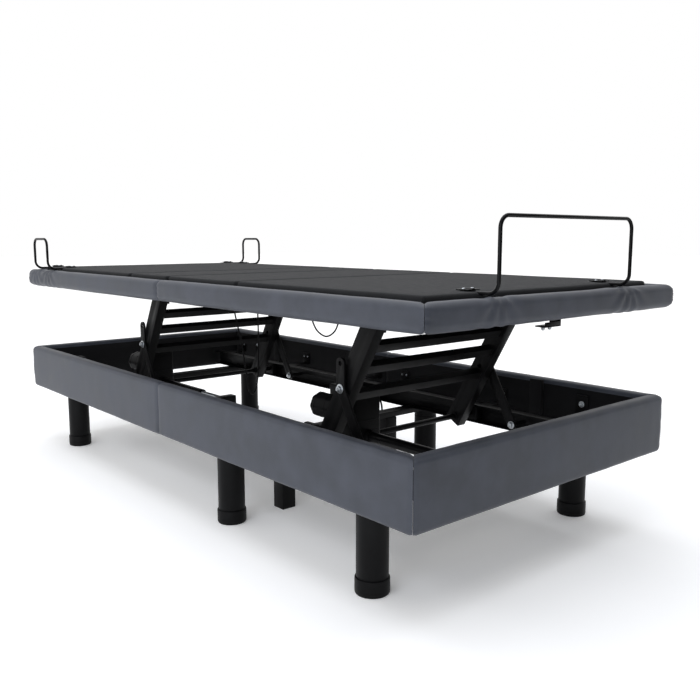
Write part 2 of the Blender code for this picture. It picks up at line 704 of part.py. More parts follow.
def add_deck_actuator(name, middle_y, pin, travel, swing):
    """A motor housing with its tube under the deck, and the rod whose slotted end holds a crank's pin."""
    length, width, height = HOUSING
    top = BEAM_BOTTOM - TOUCH
    axis_z = FOLD_HINGE_Z - CRANK * (1 + math.cos(swing / 2)) / 2
    floor = min(top - height, axis_z - DECK_TUBE_RADIUS - HOUSING_FLOOR)
    low = (HOUSING_START, middle_y - width / 2, floor)
    high = (HOUSING_START + length, middle_y + width / 2, top)
    housing = add_object(f"{name}_actuator", draw_box(low, high), "black plastic", "deck_axis")
    plate_right = pin[0] + SLOT_PLATE[0] / 2
    mouth = plate_right + max(travel, 0) + 2 * RUNNING_GAP + DECK_TUBE_RADIUS / 2
    tube = draw_rod((mouth, middle_y, axis_z), (low[0] + DECK_TUBE_RADIUS, middle_y, axis_z), DECK_TUBE_RADIUS)
    joined(housing, add_object(f"{name}_actuator_tube", tube, "grey steel", "deck_axis"), "UNION")
    bore_end = high[0] - DECK_TUBE_RADIUS
    bore = draw_rod((mouth - DECK_TUBE_RADIUS, middle_y, axis_z), (bore_end, middle_y, axis_z), DECK_TUBE_BORE)
    joined(housing, add_object(f"{name}_actuator_bore", bore, "grey steel", "deck_axis"), "DIFFERENCE")
    rod_end = bore_end - max(travel, 0) - RUNNING_GAP
    rod = add_object(
        f"{name}_rod",
        draw_rod((plate_right - RUNNING_GAP, middle_y, axis_z), (rod_end, middle_y, axis_z), DECK_ROD_RADIUS),
        "zinc",
        "deck_axis",
    )
    size = Vector(SLOT_PLATE)
    centre = Vector((pin[0], middle_y, axis_z))
    plate = add_object(f"{name}_rod_end", draw_box(centre - size / 2, centre + size / 2), "zinc", "deck_axis")
    joined(rod, plate, "UNION")
    sweep = CRANK * (1 - math.cos(swing / 2)) / 2 + PIVOT_RADIUS + RUNNING_GAP
    slot = Vector((PIVOT_RADIUS + SLOT_SIDE_SLACK, SLOT_PLATE[1], sweep))
    cutter = add_object(f"{name}_rod_slot", draw_box(centre - slot, centre + slot), "zinc", "deck_axis")
    joined(rod, cutter, "DIFFERENCE")
    return floor - TOUCH


def bent_wire(corners, bend, steps=5):
    """Points along a wire with a round bend at each inner corner."""
    points = [Vector(corners[0])]
    for before, corner, after in zip(corners, corners[1:], corners[2:]):
        corner = Vector(corner)
        arrive = (Vector(before) - corner).normalized() * bend
        leave = (Vector(after) - corner).normalized() * bend
        centre = corner + arrive + leave
        for step in range(steps + 1):
            angle = math.pi / 2 * step / steps
            points.append(centre - leave * math.cos(angle) - arrive * math.sin(angle))
    points.append(Vector(corners[-1]))
    return points


def add_tube(name, points, radius, resolution, kind, axis=None):
    """A round tube along points, with closed ends."""
    curve = bpy.data.curves.new(name, "CURVE")
    curve.dimensions = "3D"
    curve.bevel_depth = radius
    curve.bevel_resolution = resolution
    curve.use_fill_caps = True
    spline = curve.splines.new("POLY")
    spline.points.add(len(points) - 1)
    origin = world_of(axis)
    for point, place in zip(spline.points, points):
        point.co = (*(Vector(place) - origin), 1.0)
    curve.materials.append(material(kind))
    made = bpy.data.objects.new(name, curve)
    bpy.context.scene.collection.objects.link(made)
    made.parent = axes.get(axis)
    return made


def add_socket(board, name, low, high, axis):
    """A slot in a platform section that the end of a retainer lies in."""
    joined(board, add_object(name, draw_box(low, high), "black fabric", axis), "DIFFERENCE")


def add_retainers(back, foot):
    """The wire loop at the foot end and the two small ones beside the head end."""
    half = FOOT_RETAINER_HALF
    start = BOARD_END_X - SOCKET_DEPTH
    slack = WIRE_RADIUS + 2 * TOUCH
    corners = [
        (start, -half, WIRE_Z),
        (FOOT_RETAINER_X, -half, WIRE_Z),
        (FOOT_RETAINER_X, -half, FOOT_RETAINER_TOP),
        (FOOT_RETAINER_X, half, FOOT_RETAINER_TOP),
        (FOOT_RETAINER_X, half, WIRE_Z),
        (start, half, WIRE_Z),
    ]
    add_tube("foot_retainer", bent_wire(corners, WIRE_BEND), WIRE_RADIUS, 2, "black wire", "knee_axis")
    for side_name, side in (("right", -1), ("left", 1)):
        low = (start - slack, side * half - slack, WIRE_Z - slack)
        high = (BOARD_END_X + slack, side * half + slack, BOARD_TOP + slack)
        add_socket(foot, f"foot_socket_{side_name}", low, high, "knee_axis")
    first, last = HEAD_RETAINER_X
    for side_name, side in (("right", -1), ("left", 1)):
        inner = BOARD_HALF_WIDTH - SOCKET_DEPTH
        y = side * HEAD_RETAINER_Y
        corners = [
            (first + WIRE_BEND, side * inner, WIRE_Z),
            (first + WIRE_BEND, y, WIRE_Z),
            (first + WIRE_BEND, y, HEAD_RETAINER_TOP),
            (last, y, HEAD_RETAINER_TOP),
            (last, y, WIRE_Z),
            (last, side * inner, WIRE_Z),
        ]
        name = f"head_retainer_{side_name}"
        add_tube(name, bent_wire(corners, WIRE_BEND), WIRE_RADIUS, 2, "black wire", "back_axis")
        for number, x in enumerate((first + WIRE_BEND, last)):
            near, far = sorted((side * (inner - slack), side * (BOARD_HALF_WIDTH + slack)))
            low = (x - slack, near, WIRE_Z - slack)
            high = (x + slack, far, BOARD_TOP + slack)
            add_socket(back, f"{name}_socket_{number}", low, high, "back_axis")


def smooth_route(route, steps):
    """Points along a smooth curve through a cord's route, evenly shared between its stretches."""
    ends = [Vector(route[0]) * 2 - Vector(route[1])]
    ends += [Vector(point) for point in route]
    ends.append(Vector(route[-1]) * 2 - Vector(route[-2]))
    points = [ends[1]]
    for before, start, end, after in zip(ends, ends[1:], ends[2:], ends[3:]):
        for step in range(1, steps + 1):
            t = step / steps
            straight = start * 2 + (end - before) * t
            bend = (before * 2 - start * 5 + end * 4 - after) * t * t
            twist = (start * 3 - before - end * 3 + after) * t * t * t
            points.append((straight + bend + twist) / 2)
    return points


def add_electrics(back_floor, leg_floor):
    """The control box under the seat, the power unit on the base, and the cords."""
    length, width, height = CONTROL_BOX
    x, y = CONTROL_BOX_AT
    top = BOARD_BOTTOM - TOUCH
    low = (x - length / 2, y - width / 2, top - height)
    high = (x + length / 2, y + width / 2, top)
    add_object("control_box", draw_rounded_box(low, high, 0.004, 1), "black plastic", "deck_axis")
    box_floor = top - height - TOUCH
    loop = [
        (-0.172, -0.098, box_floor),
        (-0.172, -0.092, 0.520),
        (-0.170, -0.070, 0.420),
        (-0.168, -0.055, 0.320),
        (-0.170, -0.045, 0.262),
        (-0.178, -0.024, 0.240),
        (-0.184, -0.004, 0.262),
        (-0.186, 0.006, 0.330),
        (-0.186, 0.008, 0.450),
        (-0.186, 0.006, 0.560),
        (-0.186, 0.005, BOARD_BOTTOM - TOUCH),
    ]
    add_tube("deck_loom", smooth_route(loop, 7), PIGTAIL_RADIUS, 2, "black rubber", "deck_axis")
    link = [
        (0.085, 0.030, leg_floor),
        (0.085, 0.030, leg_floor - 0.012),
        (0.089, 0.046, leg_floor - 0.042),
        (0.095, 0.076, leg_floor - 0.060),
        (0.100, 0.106, back_floor - 0.052),
        (0.103, 0.122, back_floor - 0.016),
        (0.103, 0.122, back_floor),
    ]
    add_tube("motor_link_cord", smooth_route(link, 7), PIGTAIL_RADIUS, 2, "black rubber", "deck_axis")

    length, width, height = POWER_UNIT
    start = anchor_face("head") + ANCHOR_WIDTH + TOUCH
    low = (start, POWER_UNIT_Y, POWER_UNIT_BOTTOM)
    high = (start + length, POWER_UNIT_Y + width, POWER_UNIT_BOTTOM + height)
    add_object("power_unit", draw_rounded_box(low, high, 0.004, 1), "black plastic")
    outlet_x = high[0] + TOUCH
    outlet_y = POWER_UNIT_Y + width / 2
    floor = CORD_RADIUS + TOUCH
    coil_x, coil_y = COIL_AT
    rim = COIL_RADIUS + COIL_SECTION
    inner_edge = COIL_OUTER_TURN - CORD_RADIUS
    join_y = coil_y - COIL_OUTER_TURN
    join = (coil_x + math.sqrt(rim**2 - inner_edge**2) + TOUCH, join_y, floor)
    lead = [
        (outlet_x, outlet_y, POWER_UNIT_BOTTOM + height / 2),
        (outlet_x + 0.024, outlet_y, 0.234),
        (outlet_x + 0.042, outlet_y - 0.004, 0.200),
        (outlet_x + 0.040, outlet_y - 0.011, 0.110),
        (outlet_x + 0.010, outlet_y - 0.021, 0.030),
        (outlet_x - 0.050, outlet_y - 0.031, floor + 0.004),
        (outlet_x - 0.130, outlet_y - 0.041, floor),
        (outlet_x - 0.260, outlet_y - 0.066, floor),
        (outlet_x - 0.390, outlet_y - 0.108, floor),
        (join[0] + 0.060, join_y - 0.002, floor),
        join,
    ]
    add_tube("mains_lead", smooth_route(lead, 8), CORD_RADIUS, 2, "black rubber")
    ring = []
    for step in range(12):
        angle = 2 * math.pi * step / 12
        ring.append((COIL_SECTION * math.cos(angle), COIL_SECTION * (1 + math.sin(angle)) + TOUCH))
    add_object("mains_coil", draw_ring(ring, COIL_AT, COIL_RADIUS, 36), "black rubber")
    plug_y = coil_y + COIL_OUTER_TURN
    near_edge = COIL_OUTER_TURN - PLUG[1] / 2
    plug_x = coil_x + math.sqrt(rim**2 - near_edge**2) + TOUCH
    low = (plug_x, plug_y - PLUG[1] / 2, TOUCH)
    high = (plug_x + PLUG[0], plug_y + PLUG[1] / 2, TOUCH + PLUG[2])
    add_object("mains_plug", draw_rounded_box(low, high, 0.004, 1), "black plastic")


def draw_ring(section, centre, radius, sides):
    """A closed section of (outward, height) points turned about a vertical line."""

    def draw(shape):
        rings = []
        for step in range(sides):
            angle = 2 * math.pi * step / sides
            ring = []
            for outward, height in section:
                reach = radius + outward
                x = centre[0] + reach * math.cos(angle)
                y = centre[1] + reach * math.sin(angle)
                ring.append(shape.verts.new((x, y, height)))
            rings.append(ring)
        count = len(section)
        for step in range(sides):
            here = rings[step]
            after = rings[(step + 1) % sides]
            for side in range(count):
                other = (side + 1) % count
                shape.faces.new((here[side], after[side], after[other], here[other]))

    return draw


def main():
    """Builds the whole bed base."""
    clear_scene()
    add_axes()
    add_upholstered_ring(
        "surround", SURROUND_LENGTH, SURROUND_WIDTH, SURROUND_THICKNESS, SURROUND_BOTTOM, SURROUND_HEIGHT,
        SURROUND_EDGE, None,
    )
    add_upholstered_ring(
        "border", BORDER_LENGTH, BORDER_WIDTH, BORDER_THICKNESS, BORDER_BOTTOM, BORDER_HEIGHT, BORDER_EDGE,
        "deck_axis",
    )
    add_base_rails()
    add_cross_tubes()
    add_legs()
    for unit in UNIT_PIVOT_X:
        add_stays(unit)
        add_arm_frame(unit)
        add_slide(unit)
        add_lift_actuator(unit)
    add_beams()
    back, foot, back_pin, thigh_pin = add_platform()
    back_travel = -2 * CRANK * math.sin(BACK_TRAVEL / 2)
    thigh_travel = 2 * CRANK * math.sin(THIGH_TRAVEL / 2)
    back_floor = add_deck_actuator("back", BACK_MOTOR_Y, back_pin, back_travel, BACK_TRAVEL)
    leg_floor = add_deck_actuator("leg", LEG_MOTOR_Y, thigh_pin, thigh_travel, THIGH_TRAVEL)
    add_retainers(back, foot)
    add_electrics(back_floor, leg_floor)


main()
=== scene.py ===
"""Looks of the adjustable bed base: upholstery, painted steel, plastics, fasteners and cords.

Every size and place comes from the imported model's nodes, in metres, with +Z up, +X towards the foot
end and +Y to the left side of the bed.
"""

import json
import logging
import math
from collections.abc import Iterable, Sequence
from dataclasses import dataclass, field
from enum import Enum

import bmesh
import bpy
from mathutils import Matrix, Vector, noise


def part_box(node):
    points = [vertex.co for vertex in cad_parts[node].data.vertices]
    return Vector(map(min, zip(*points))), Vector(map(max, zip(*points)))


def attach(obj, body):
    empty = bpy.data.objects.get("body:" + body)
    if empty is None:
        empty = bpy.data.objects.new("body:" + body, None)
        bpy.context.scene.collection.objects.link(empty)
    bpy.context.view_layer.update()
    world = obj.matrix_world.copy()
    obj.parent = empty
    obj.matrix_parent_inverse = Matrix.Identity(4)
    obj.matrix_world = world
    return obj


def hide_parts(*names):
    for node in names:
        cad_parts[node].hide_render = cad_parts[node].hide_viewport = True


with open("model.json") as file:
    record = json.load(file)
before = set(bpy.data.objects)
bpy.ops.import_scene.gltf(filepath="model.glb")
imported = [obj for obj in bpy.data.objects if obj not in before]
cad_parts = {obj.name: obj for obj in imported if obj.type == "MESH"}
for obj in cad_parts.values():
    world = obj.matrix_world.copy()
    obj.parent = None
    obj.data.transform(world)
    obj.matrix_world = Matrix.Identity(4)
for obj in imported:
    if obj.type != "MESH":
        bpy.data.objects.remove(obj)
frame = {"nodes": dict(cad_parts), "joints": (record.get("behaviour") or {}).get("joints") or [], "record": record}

log = logging.getLogger("bed_base")

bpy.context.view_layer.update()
MILLIMETRE = 0.001

Corner = Sequence[float]
Outline = Sequence[tuple[float, float]]
Shape = bmesh.types.BMesh
Point = bmesh.types.BMVert
Edge = bmesh.types.BMEdge
Tree = bpy.types.NodeTree
Node = bpy.types.Node
Socket = bpy.types.NodeSocket
Material = bpy.types.Material
Piece = bpy.types.Object


class Body(str, Enum):
    """The bodies that pieces without a CAD node of their own ride on."""

    BASE = "base"
    DECK = "deck"


class Unit(str, Enum):
    """The two lift units."""

    FOOT = "foot"
    HEAD = "head"


class Side(Enum):
    """The two sides of the bed, by the sign of Y."""

    RIGHT = -1
    LEFT = 1


# --- materials --------------------------------------------------------------------------------


def linear(hex_colour: str) -> tuple[float, float, float, float]:
    """Turns an sRGB hex colour into Blender's linear RGBA.

    Args:
        hex_colour: Six hex digits after a #.

    Returns:
        Linear red, green, blue and an alpha of 1.
    """
    channels = [int(hex_colour[start : start + 2], 16) / 255 for start in (1, 3, 5)]
    bent = [c / 12.92 if c <= 0.04045 else ((c + 0.055) / 1.055) ** 2.4 for c in channels]
    return (bent[0], bent[1], bent[2], 1.0)


def set_inputs(tree: Tree, node: Node, inputs: dict[str, object]) -> None:
    """Gives each named input of a node its value, or links another node's output socket to it."""
    for name, value in inputs.items():
        if isinstance(value, Socket):
            tree.links.new(value, node.inputs[name])
        else:
            node.inputs[name].default_value = value


def add_node(
    tree: Tree,
    kind: str,
    settings: dict[str, object] | None = None,
    inputs: dict[str, object] | None = None,
) -> Node:
    """Adds a shader node with its settings, values and links.

    Args:
        tree: The material's node tree.
        kind: The node's type name.
        settings: Attributes to set on the node.
        inputs: For each input socket, a value or another node's output socket.

    Returns:
        The new node.
    """
    node = tree.nodes.new(kind)
    for name, value in (settings or {}).items():
        setattr(node, name, value)
    set_inputs(tree, node, inputs or {})
    return node


def speckle(
    tree: Tree, place: Socket, size_mm: float, detail: float
) -> Socket:
    """Adds an uneven pattern whose patches are about a size in millimetres, and returns its value."""
    inputs = {"Vector": place, "Scale": 1 / (size_mm * MILLIMETRE), "Detail": detail}
    return add_node(tree, "ShaderNodeTexNoise", inputs=inputs).outputs["Fac"]


def colour_ramp(
    tree: Tree, source: Socket, stops: Iterable[tuple[float, str]]
) -> Socket:
    """Spreads a pattern's value over two colours.

    Args:
        tree: The material's node tree.
        source: The pattern's value.
        stops: Two positions from 0 to 1, each with its hex colour.

    Returns:
        The colour socket.
    """
    ramp = add_node(tree, "ShaderNodeValToRGB", inputs={"Fac": source})
    for element, (position, hex_colour) in zip(ramp.color_ramp.elements, stops):
        element.position = position
        element.color = linear(hex_colour)
    return ramp.outputs["Color"]


def roughness_range(
    tree: Tree, source: Socket, low: float, high: float
) -> Socket:
    """Maps a pattern's middle range to a roughness range and returns its socket."""
    settings = {"From Min": 0.3, "From Max": 0.7, "To Min": low, "To Max": high}
    ranged = add_node(tree, "ShaderNodeMapRange", inputs={"Value": source, **settings})
    return ranged.outputs["Result"]


def bump(
    tree: Tree,
    height: Socket,
    strength: float,
    distance: float,
    under: Socket | None = None,
) -> Socket:
    """Raises a surface by a pattern.

    Args:
        tree: The material's node tree.
        height: The pattern's value.
        strength: How strongly the pattern shows.
        distance: The height of the relief in metres.
        under: A coarser relief that this one lies on.

    Returns:
        The normal socket.
    """
    inputs = {"Strength": strength, "Distance": distance, "Height": height}
    if under:
        inputs["Normal"] = under
    return add_node(tree, "ShaderNodeBump", inputs=inputs).outputs["Normal"]


@dataclass(frozen=True)
class Finish:
    """What every finish has: its material's name and the record's slot that it fills."""

    name: str
    slot: str

    def start(self) -> tuple[Material, Tree, Node, Socket]:
        """Makes the material and returns it with its tree, its shader and its object coordinates."""
        made = bpy.data.materials.new(self.name)
        made.use_nodes = True
        tree = made.node_tree
        shader = tree.nodes["Principled BSDF"]
        place = add_node(tree, "ShaderNodeTexCoord").outputs["Object"]
        return made, tree, shader, place

    def build(self) -> Material:
        """Makes the material; each kind of finish draws its own nodes."""
        raise NotImplementedError

    def material(self) -> Material:
        """Returns the finish's material, made once."""
        return bpy.data.materials.get(self.name) or self.build()


@dataclass(frozen=True)
class Leatherette(Finish):
    """Polyurethane-coated upholstery cloth, embossed with a fine grain: a soft, slightly waxy sheen."""

    dark: str = "#373A41"
    light: str = "#41444C"
    grain_mm: float = 1.6
    crease_mm: float = 70.0

    def build(self) -> Material:
        """Draws the embossed grain, the slow mottling and the shallow creases."""
        made, tree, shader, place = self.start()
        mottle = speckle(tree, place, self.crease_mm, 5.0)
        pores = add_node(
            tree,
            "ShaderNodeTexVoronoi",
            {"feature": "DISTANCE_TO_EDGE"},
            {"Vector": place, "Scale": 1 / (self.grain_mm * MILLIMETRE), "Randomness": 1.0},
        )
        tooth = speckle(tree, place, self.grain_mm / 2, 2.0)
        creases = bump(tree, mottle, 0.35, 0.0016)
        embossed = bump(tree, pores.outputs["Distance"], 0.45, 0.00016, creases)
        set_inputs(tree, shader, {
            "Base Color": colour_ramp(tree, mottle, ((0.35, self.dark), (0.65, self.light))),
            "Roughness": roughness_range(tree, mottle, 0.42, 0.54),
            "IOR": 1.30,
            "Sheen Weight": 0.04,
            "Sheen Roughness": 0.45,
            "Normal": bump(tree, tooth, 0.25, 0.0001, embossed),
        })
        return made


@dataclass(frozen=True)
class WovenCloth(Finish):
    """Plain-woven polyester: crossing threads that scatter light, with a faint fuzz at grazing angles."""

    dark: str = "#0E0E10"
    light: str = "#1C1D1F"
    thread_mm: float = 1.8
    slub_mm: float = 1000 / 60

    def build(self) -> Material:
        """Draws the two thread directions, drawn at twice their real spacing so that they show."""
        made, tree, shader, place = self.start()
        scale = math.pi / (self.thread_mm * MILLIMETRE) / 10
        weave = add_node(tree, "ShaderNodeMath", {"operation": "MAXIMUM"})
        for index, direction in enumerate(("X", "Y")):
            threads = add_node(
                tree,
                "ShaderNodeTexWave",
                {"bands_direction": direction, "wave_profile": "SIN"},
                {"Vector": place, "Scale": scale, "Distortion": 0.6, "Detail": 1.0, "Detail Scale": 3.0},
            )
            tree.links.new(threads.outputs["Fac"], weave.inputs[index])
        slub = speckle(tree, place, self.slub_mm, 6.0)
        blend = add_node(tree, "ShaderNodeMath", {"operation": "MULTIPLY"})
        tree.links.new(weave.outputs[0], blend.inputs[0])
        tree.links.new(slub, blend.inputs[1])
        set_inputs(tree, shader, {
            "Base Color": colour_ramp(tree, blend.outputs[0], ((0.15, self.dark), (0.6, self.light))),
            "Roughness": roughness_range(tree, slub, 0.8, 0.95),
            "IOR": 1.25,
            "Sheen Weight": 0.05,
            "Sheen Roughness": 0.6,
            "Normal": bump(tree, blend.outputs[0], 0.6, 0.0004),
        })
        return made


@dataclass(frozen=True)
class PowderCoat(Finish):
    """Baked polyester powder on steel: an even satin skin with a fine orange peel and rubbed patches."""

    dark: str = "#09090A"
    light: str = "#111112"
    peel_mm: float = 1.2
    rub_mm: float = 1000 / 14
    smoothest: float = 0.34
    roughest: float = 0.50

    def build(self) -> Material:
        """Draws the orange peel, and patches rubbed a little smoother."""
        made, tree, shader, place = self.start()
        peel = speckle(tree, place, self.peel_mm, 1.0)
        handled = speckle(tree, place, self.rub_mm, 6.0)
        set_inputs(tree, shader, {
            "Base Color": colour_ramp(tree, handled, ((0.35, self.dark), (0.7, self.light))),
            "Roughness": roughness_range(tree, handled, self.smoothest, self.roughest),
            "IOR": 1.20,
            "Normal": bump(tree, peel, 0.3, 0.00012),
        })
        return made


@dataclass(frozen=True)
class ZincPlate(Finish):
    """Electroplated zinc with a clear chromate: bright, slightly blue, with cloudy grains."""

    dark: str = "#A6ABB0"
    light: str = "#CDD1D5"
    grain_mm: float = 3.0

    def build(self) -> Material:
        """Draws the cloudy plating."""
        made, tree, shader, place = self.start()
        cloud = speckle(tree, place, self.grain_mm, 4.0)
        set_inputs(tree, shader, {
            "Base Color": colour_ramp(tree, cloud, ((0.3, self.dark), (0.7, self.light))),
            "Roughness": roughness_range(tree, cloud, 0.24, 0.40),
            "Metallic": 1.0,
            "Normal": bump(tree, cloud, 0.2, 0.00008),
        })
        return made


@dataclass(frozen=True)
class MouldedPlastic(Finish):
    """Injection-moulded ABS or nylon with a spark-eroded texture: dull, with a soft broad highlight."""

    dark: str = "#0A0A0B"
    light: str = "#111112"
    spark_mm: float = 0.9
    flow_mm: float = 1000 / 9
    smoothest: float = 0.42
    roughest: float = 0.55

    def build(self) -> Material:
        """Draws the spark texture and slow changes of gloss."""
        made, tree, shader, place = self.start()
        spark = speckle(tree, place, self.spark_mm, 3.0)
        flow = speckle(tree, place, self.flow_mm, 4.0)
        set_inputs(tree, shader, {
            "Base Color": colour_ramp(tree, flow, ((0.35, self.dark), (0.65, self.light))),
            "Roughness": roughness_range(tree, flow, self.smoothest, self.roughest),
            "IOR": 1.19,
            "Normal": bump(tree, spark, 0.35, 0.00012),
        })
        return made


@dataclass(frozen=True)
class SpunThread(Finish):
    """Bonded polyester sewing thread: dull, twisted strands."""

    dark: str = "#3B3E45"
    light: str = "#555A63"
    twist_mm: float = 1.0

    def build(self) -> Material:
        """Draws the twist of the strands."""
        made, tree, shader, place = self.start()
        twist = speckle(tree, place, self.twist_mm, 2.0)
        set_inputs(tree, shader, {
            "Base Color": colour_ramp(tree, twist, ((0.3, self.dark), (0.7, self.light))),
            "Roughness": roughness_range(tree, twist, 0.65, 0.8),
        })
        return made


UPHOLSTERY = Leatherette("slate PU leatherette", "leatherette")
LINING = WovenCloth("black nonwoven lining", "platform_cloth", dark="#08080A", light="#141416", thread_mm=2.2)
PLATFORM_CLOTH = WovenCloth("black woven platform cloth", "platform_cloth")
BLACK_POWDER = PowderCoat("satin black powder coat", "black_steel")
GREY_POWDER = PowderCoat("graphite powder coat", "grey_steel", dark="#131416", light="#1E2023")
WIRE_POWDER = PowderCoat("gloss black powder coat", "black_wire", peel_mm=2.0, smoothest=0.16, roughest=0.26)
ZINC = ZincPlate("clear zinc plate", "zinc")
MACHINED_TUBE = PowderCoat(
    "satin black drawn tube", "black_steel", peel_mm=2.0, smoothest=0.26, roughest=0.36
)
LEG_PLASTIC = MouldedPlastic("satin black moulded leg", "black_plastic", smoothest=0.36, roughest=0.48)
HOUSING_PLASTIC = MouldedPlastic("black moulded ABS", "black_plastic")
NYLON = MouldedPlastic("black moulded nylon", "black_plastic", dark="#070708", light="#0E0E0F", spark_mm=1.4)
CORD_JACKET = MouldedPlastic(
    "black flexible PVC", "cord_rubber", spark_mm=1.2, smoothest=0.45, roughest=0.6
)
THREAD = SpunThread("slate polyester thread", "leatherette")


# --- shapes -----------------------------------------------------------------------------------


def add_block(shape: Shape, low: Corner, high: Corner) -> list[Point]:
    """Adds a box between two corners and returns its corner points."""
    made = bmesh.ops.create_cube(shape, size=1)["verts"]
    size = Vector(high) - Vector(low)
    bmesh.ops.scale(shape, verts=made, vec=size)
    bmesh.ops.translate(shape, verts=made, vec=(Vector(high) + Vector(low)) / 2)
    return made


def add_round(
    shape: Shape, start: Corner, end: Corner, radius: float, sides: int, end_radius: float | None = None
) -> list[Point]:
    """Adds a round bar or cone from one point to another.

    Args:
        shape: The mesh being drawn.
        start: The centre of its first end.
        end: The centre of its other end.
        radius: The radius at its first end.
        sides: The number of sides.
        end_radius: The radius at its other end, if different.

    Returns:
        Its points.
    """
    along = Vector(end) - Vector(start)
    turn = Vector((0, 0, 1)).rotation_difference(along).to_matrix().to_4x4()
    place = Matrix.Translation(Vector(start) + along / 2) @ turn
    made = bmesh.ops.create_cone(
        shape,
        cap_ends=True,
        segments=sides,
        radius1=radius,
        radius2=radius if end_radius is None else end_radius,
        depth=along.length,
        matrix=place,
    )
    return made["verts"]


def add_plate(
    shape: Shape, outline: Outline, near: float, far: float
) -> list[Point]:
    """Extrudes an (x, z) outline across the bed, from one Y to another, and returns all its points."""
    ring = [shape.verts.new((x, near, z)) for x, z in outline]
    face = shape.faces.new(ring)
    moved = bmesh.ops.extrude_face_region(shape, geom=[face])["geom"]
    top = [item for item in moved if isinstance(item, Point)]
    bmesh.ops.translate(shape, verts=top, vec=(0, far - near, 0))
    return ring + top


def edges_of(points: Sequence[Point]) -> list[Edge]:
    """The edges whose two ends are both among the points."""
    chosen = set(points)
    shared = (edge for point in points for edge in point.link_edges if edge.other_vert(point) in chosen)
    return list(dict.fromkeys(shared))


def soften(
    shape: Shape, edges: Iterable[Edge], width: float, segments: int = 3
) -> None:
    """Rounds edges."""
    bmesh.ops.bevel(
        shape, geom=list(edges), offset=width, offset_type="OFFSET", segments=segments, profile=0.5,
        affect="EDGES", clamp_overlap=True, material=-1,
    )


def edges_along(edges: Iterable[Edge], axis: int, least: float) -> list[Edge]:
    """The edges that reach further than a length along an axis."""
    return [edge for edge in edges if abs((edge.verts[1].co - edge.verts[0].co)[axis]) > least]


def sharp_edges(points: Sequence[Point], least: float = 0.6) -> list[Edge]:
    """The edges among the points whose two faces turn by at least an angle in radians."""
    return [
        edge for edge in edges_of(points) if len(edge.link_faces) == 2 and edge.calc_face_angle(0.0) > least
    ]


def eased_block(shape: Shape, low: Corner, high: Corner, width: float, segments: int = 1) -> None:
    """Adds a box between two corners, with all its edges rounded."""
    soften(shape, edges_of(add_block(shape, low, high)), width, segments)


def eased_round(
    shape: Shape, start: Corner, end: Corner, radius: float, sides: int, width: float,
    segments: int = 1, end_radius: float | None = None, least: float = 0.6,
) -> None:
    """Adds a round bar or cone with its rims rounded.

    Args:
        shape: The mesh being drawn.
        start: The centre of its first end.
        end: The centre of its other end.
        radius: The radius at its first end.
        sides: The number of sides.
        width: How far the rounding reaches.
        segments: The rounding's steps.
        end_radius: The radius at its other end, if different.
        least: Edges that turn by at least this angle in radians are rounded.
    """
    made = add_round(shape, start, end, radius, sides, end_radius)
    soften(shape, sharp_edges(made, least), width, segments)


def bar_outline(
    start: tuple[float, float], end: tuple[float, float], radius: float, steps: int = 12
) -> Outline:
    """The outline of a flat bar with round ends between two points."""
    heading = math.atan2(end[1] - start[1], end[0] - start[0])
    points = []
    for centre, first in ((end, heading - math.pi / 2), (start, heading + math.pi / 2)):
        for step in range(steps + 1):
            angle = first + math.pi * step / steps
            points.append((centre[0] + radius * math.cos(angle), centre[1] + radius * math.sin(angle)))
    return points


def finish_piece(
    name: str,
    shape: Shape,
    finish: Finish,
    body: str,
    replaces: Sequence[str] = (),
    smooth_angle: float = 40.0,
) -> Piece:
    """Turns a drawn mesh into a piece that is shaded, dressed and riding on its body.

    Args:
        name: The piece's name.
        shape: The mesh, in world coordinates; it is freed.
        finish: What it is made of.
        body: The CAD body it moves with.
        replaces: The CAD nodes it stands for.
        smooth_angle: Edges that turn by less than this many degrees shade smooth.

    Returns:
        The piece.
    """
    bmesh.ops.recalc_face_normals(shape, faces=shape.faces)
    mesh = bpy.data.meshes.new(name)
    shape.to_mesh(mesh)
    shape.free()
    mesh.shade_smooth()
    mesh.set_sharp_from_angle(angle=math.radians(smooth_angle))
    mesh.materials.append(finish.material())
    piece = bpy.data.objects.new(name, mesh)
    bpy.context.scene.collection.objects.link(piece)
    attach(piece, body)
    if replaces:
        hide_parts(*replaces)
    log.info("%s: %d faces on %s", name, len(mesh.polygons), body)
    return piece


def body_of(node: str) -> str:
    """The CAD body that a node belongs to."""
    for body, members in frame["record"]["behaviour"]["bodies"].items():
        if node in members:
            return body
    raise KeyError(node)


def box_of(node: str) -> tuple[Vector, Vector]:
    """A CAD node's lowest and highest corners."""
    low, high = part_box(node)
    return Vector(low), Vector(high)


def cad_copy(node: str) -> Shape:
    """A CAD node's mesh with its doubled points merged and its flat faces made whole."""
    shape = bmesh.new()
    shape.from_mesh(frame["nodes"][node].data)
    bmesh.ops.remove_doubles(shape, verts=shape.verts, dist=0.00001)
    flat = math.radians(1.5)
    bmesh.ops.dissolve_limit(
        shape, angle_limit=flat, use_dissolve_boundaries=False, verts=shape.verts, edges=shape.edges
    )
    return shape


def hex_bolt(
    shape: Shape, seat: Corner, outward: Corner, across_flats: float = 0.013, shank: float = 0.004
) -> None:
    """Draws a flanged hex bolt head with a pressed washer and a thread end.

    Args:
        shape: The mesh being drawn.
        seat: Where the flange rests.
        outward: The way the head points.
        across_flats: The hexagon's width.
        shank: How far the thread stands past the head.
    """
    way = Vector(outward).normalized()
    base = Vector(seat)
    eased_round(shape, base, base + way * 0.0016, across_flats * 0.88, 28, 0.0004, 2)
    eased_round(shape, base + way * 0.0012, base + way * 0.0078, across_flats / math.sqrt(3), 6, 0.0006, 2)
    add_round(shape, base + way * 0.007, base + way * (0.0078 + shank), across_flats * 0.29, 16)


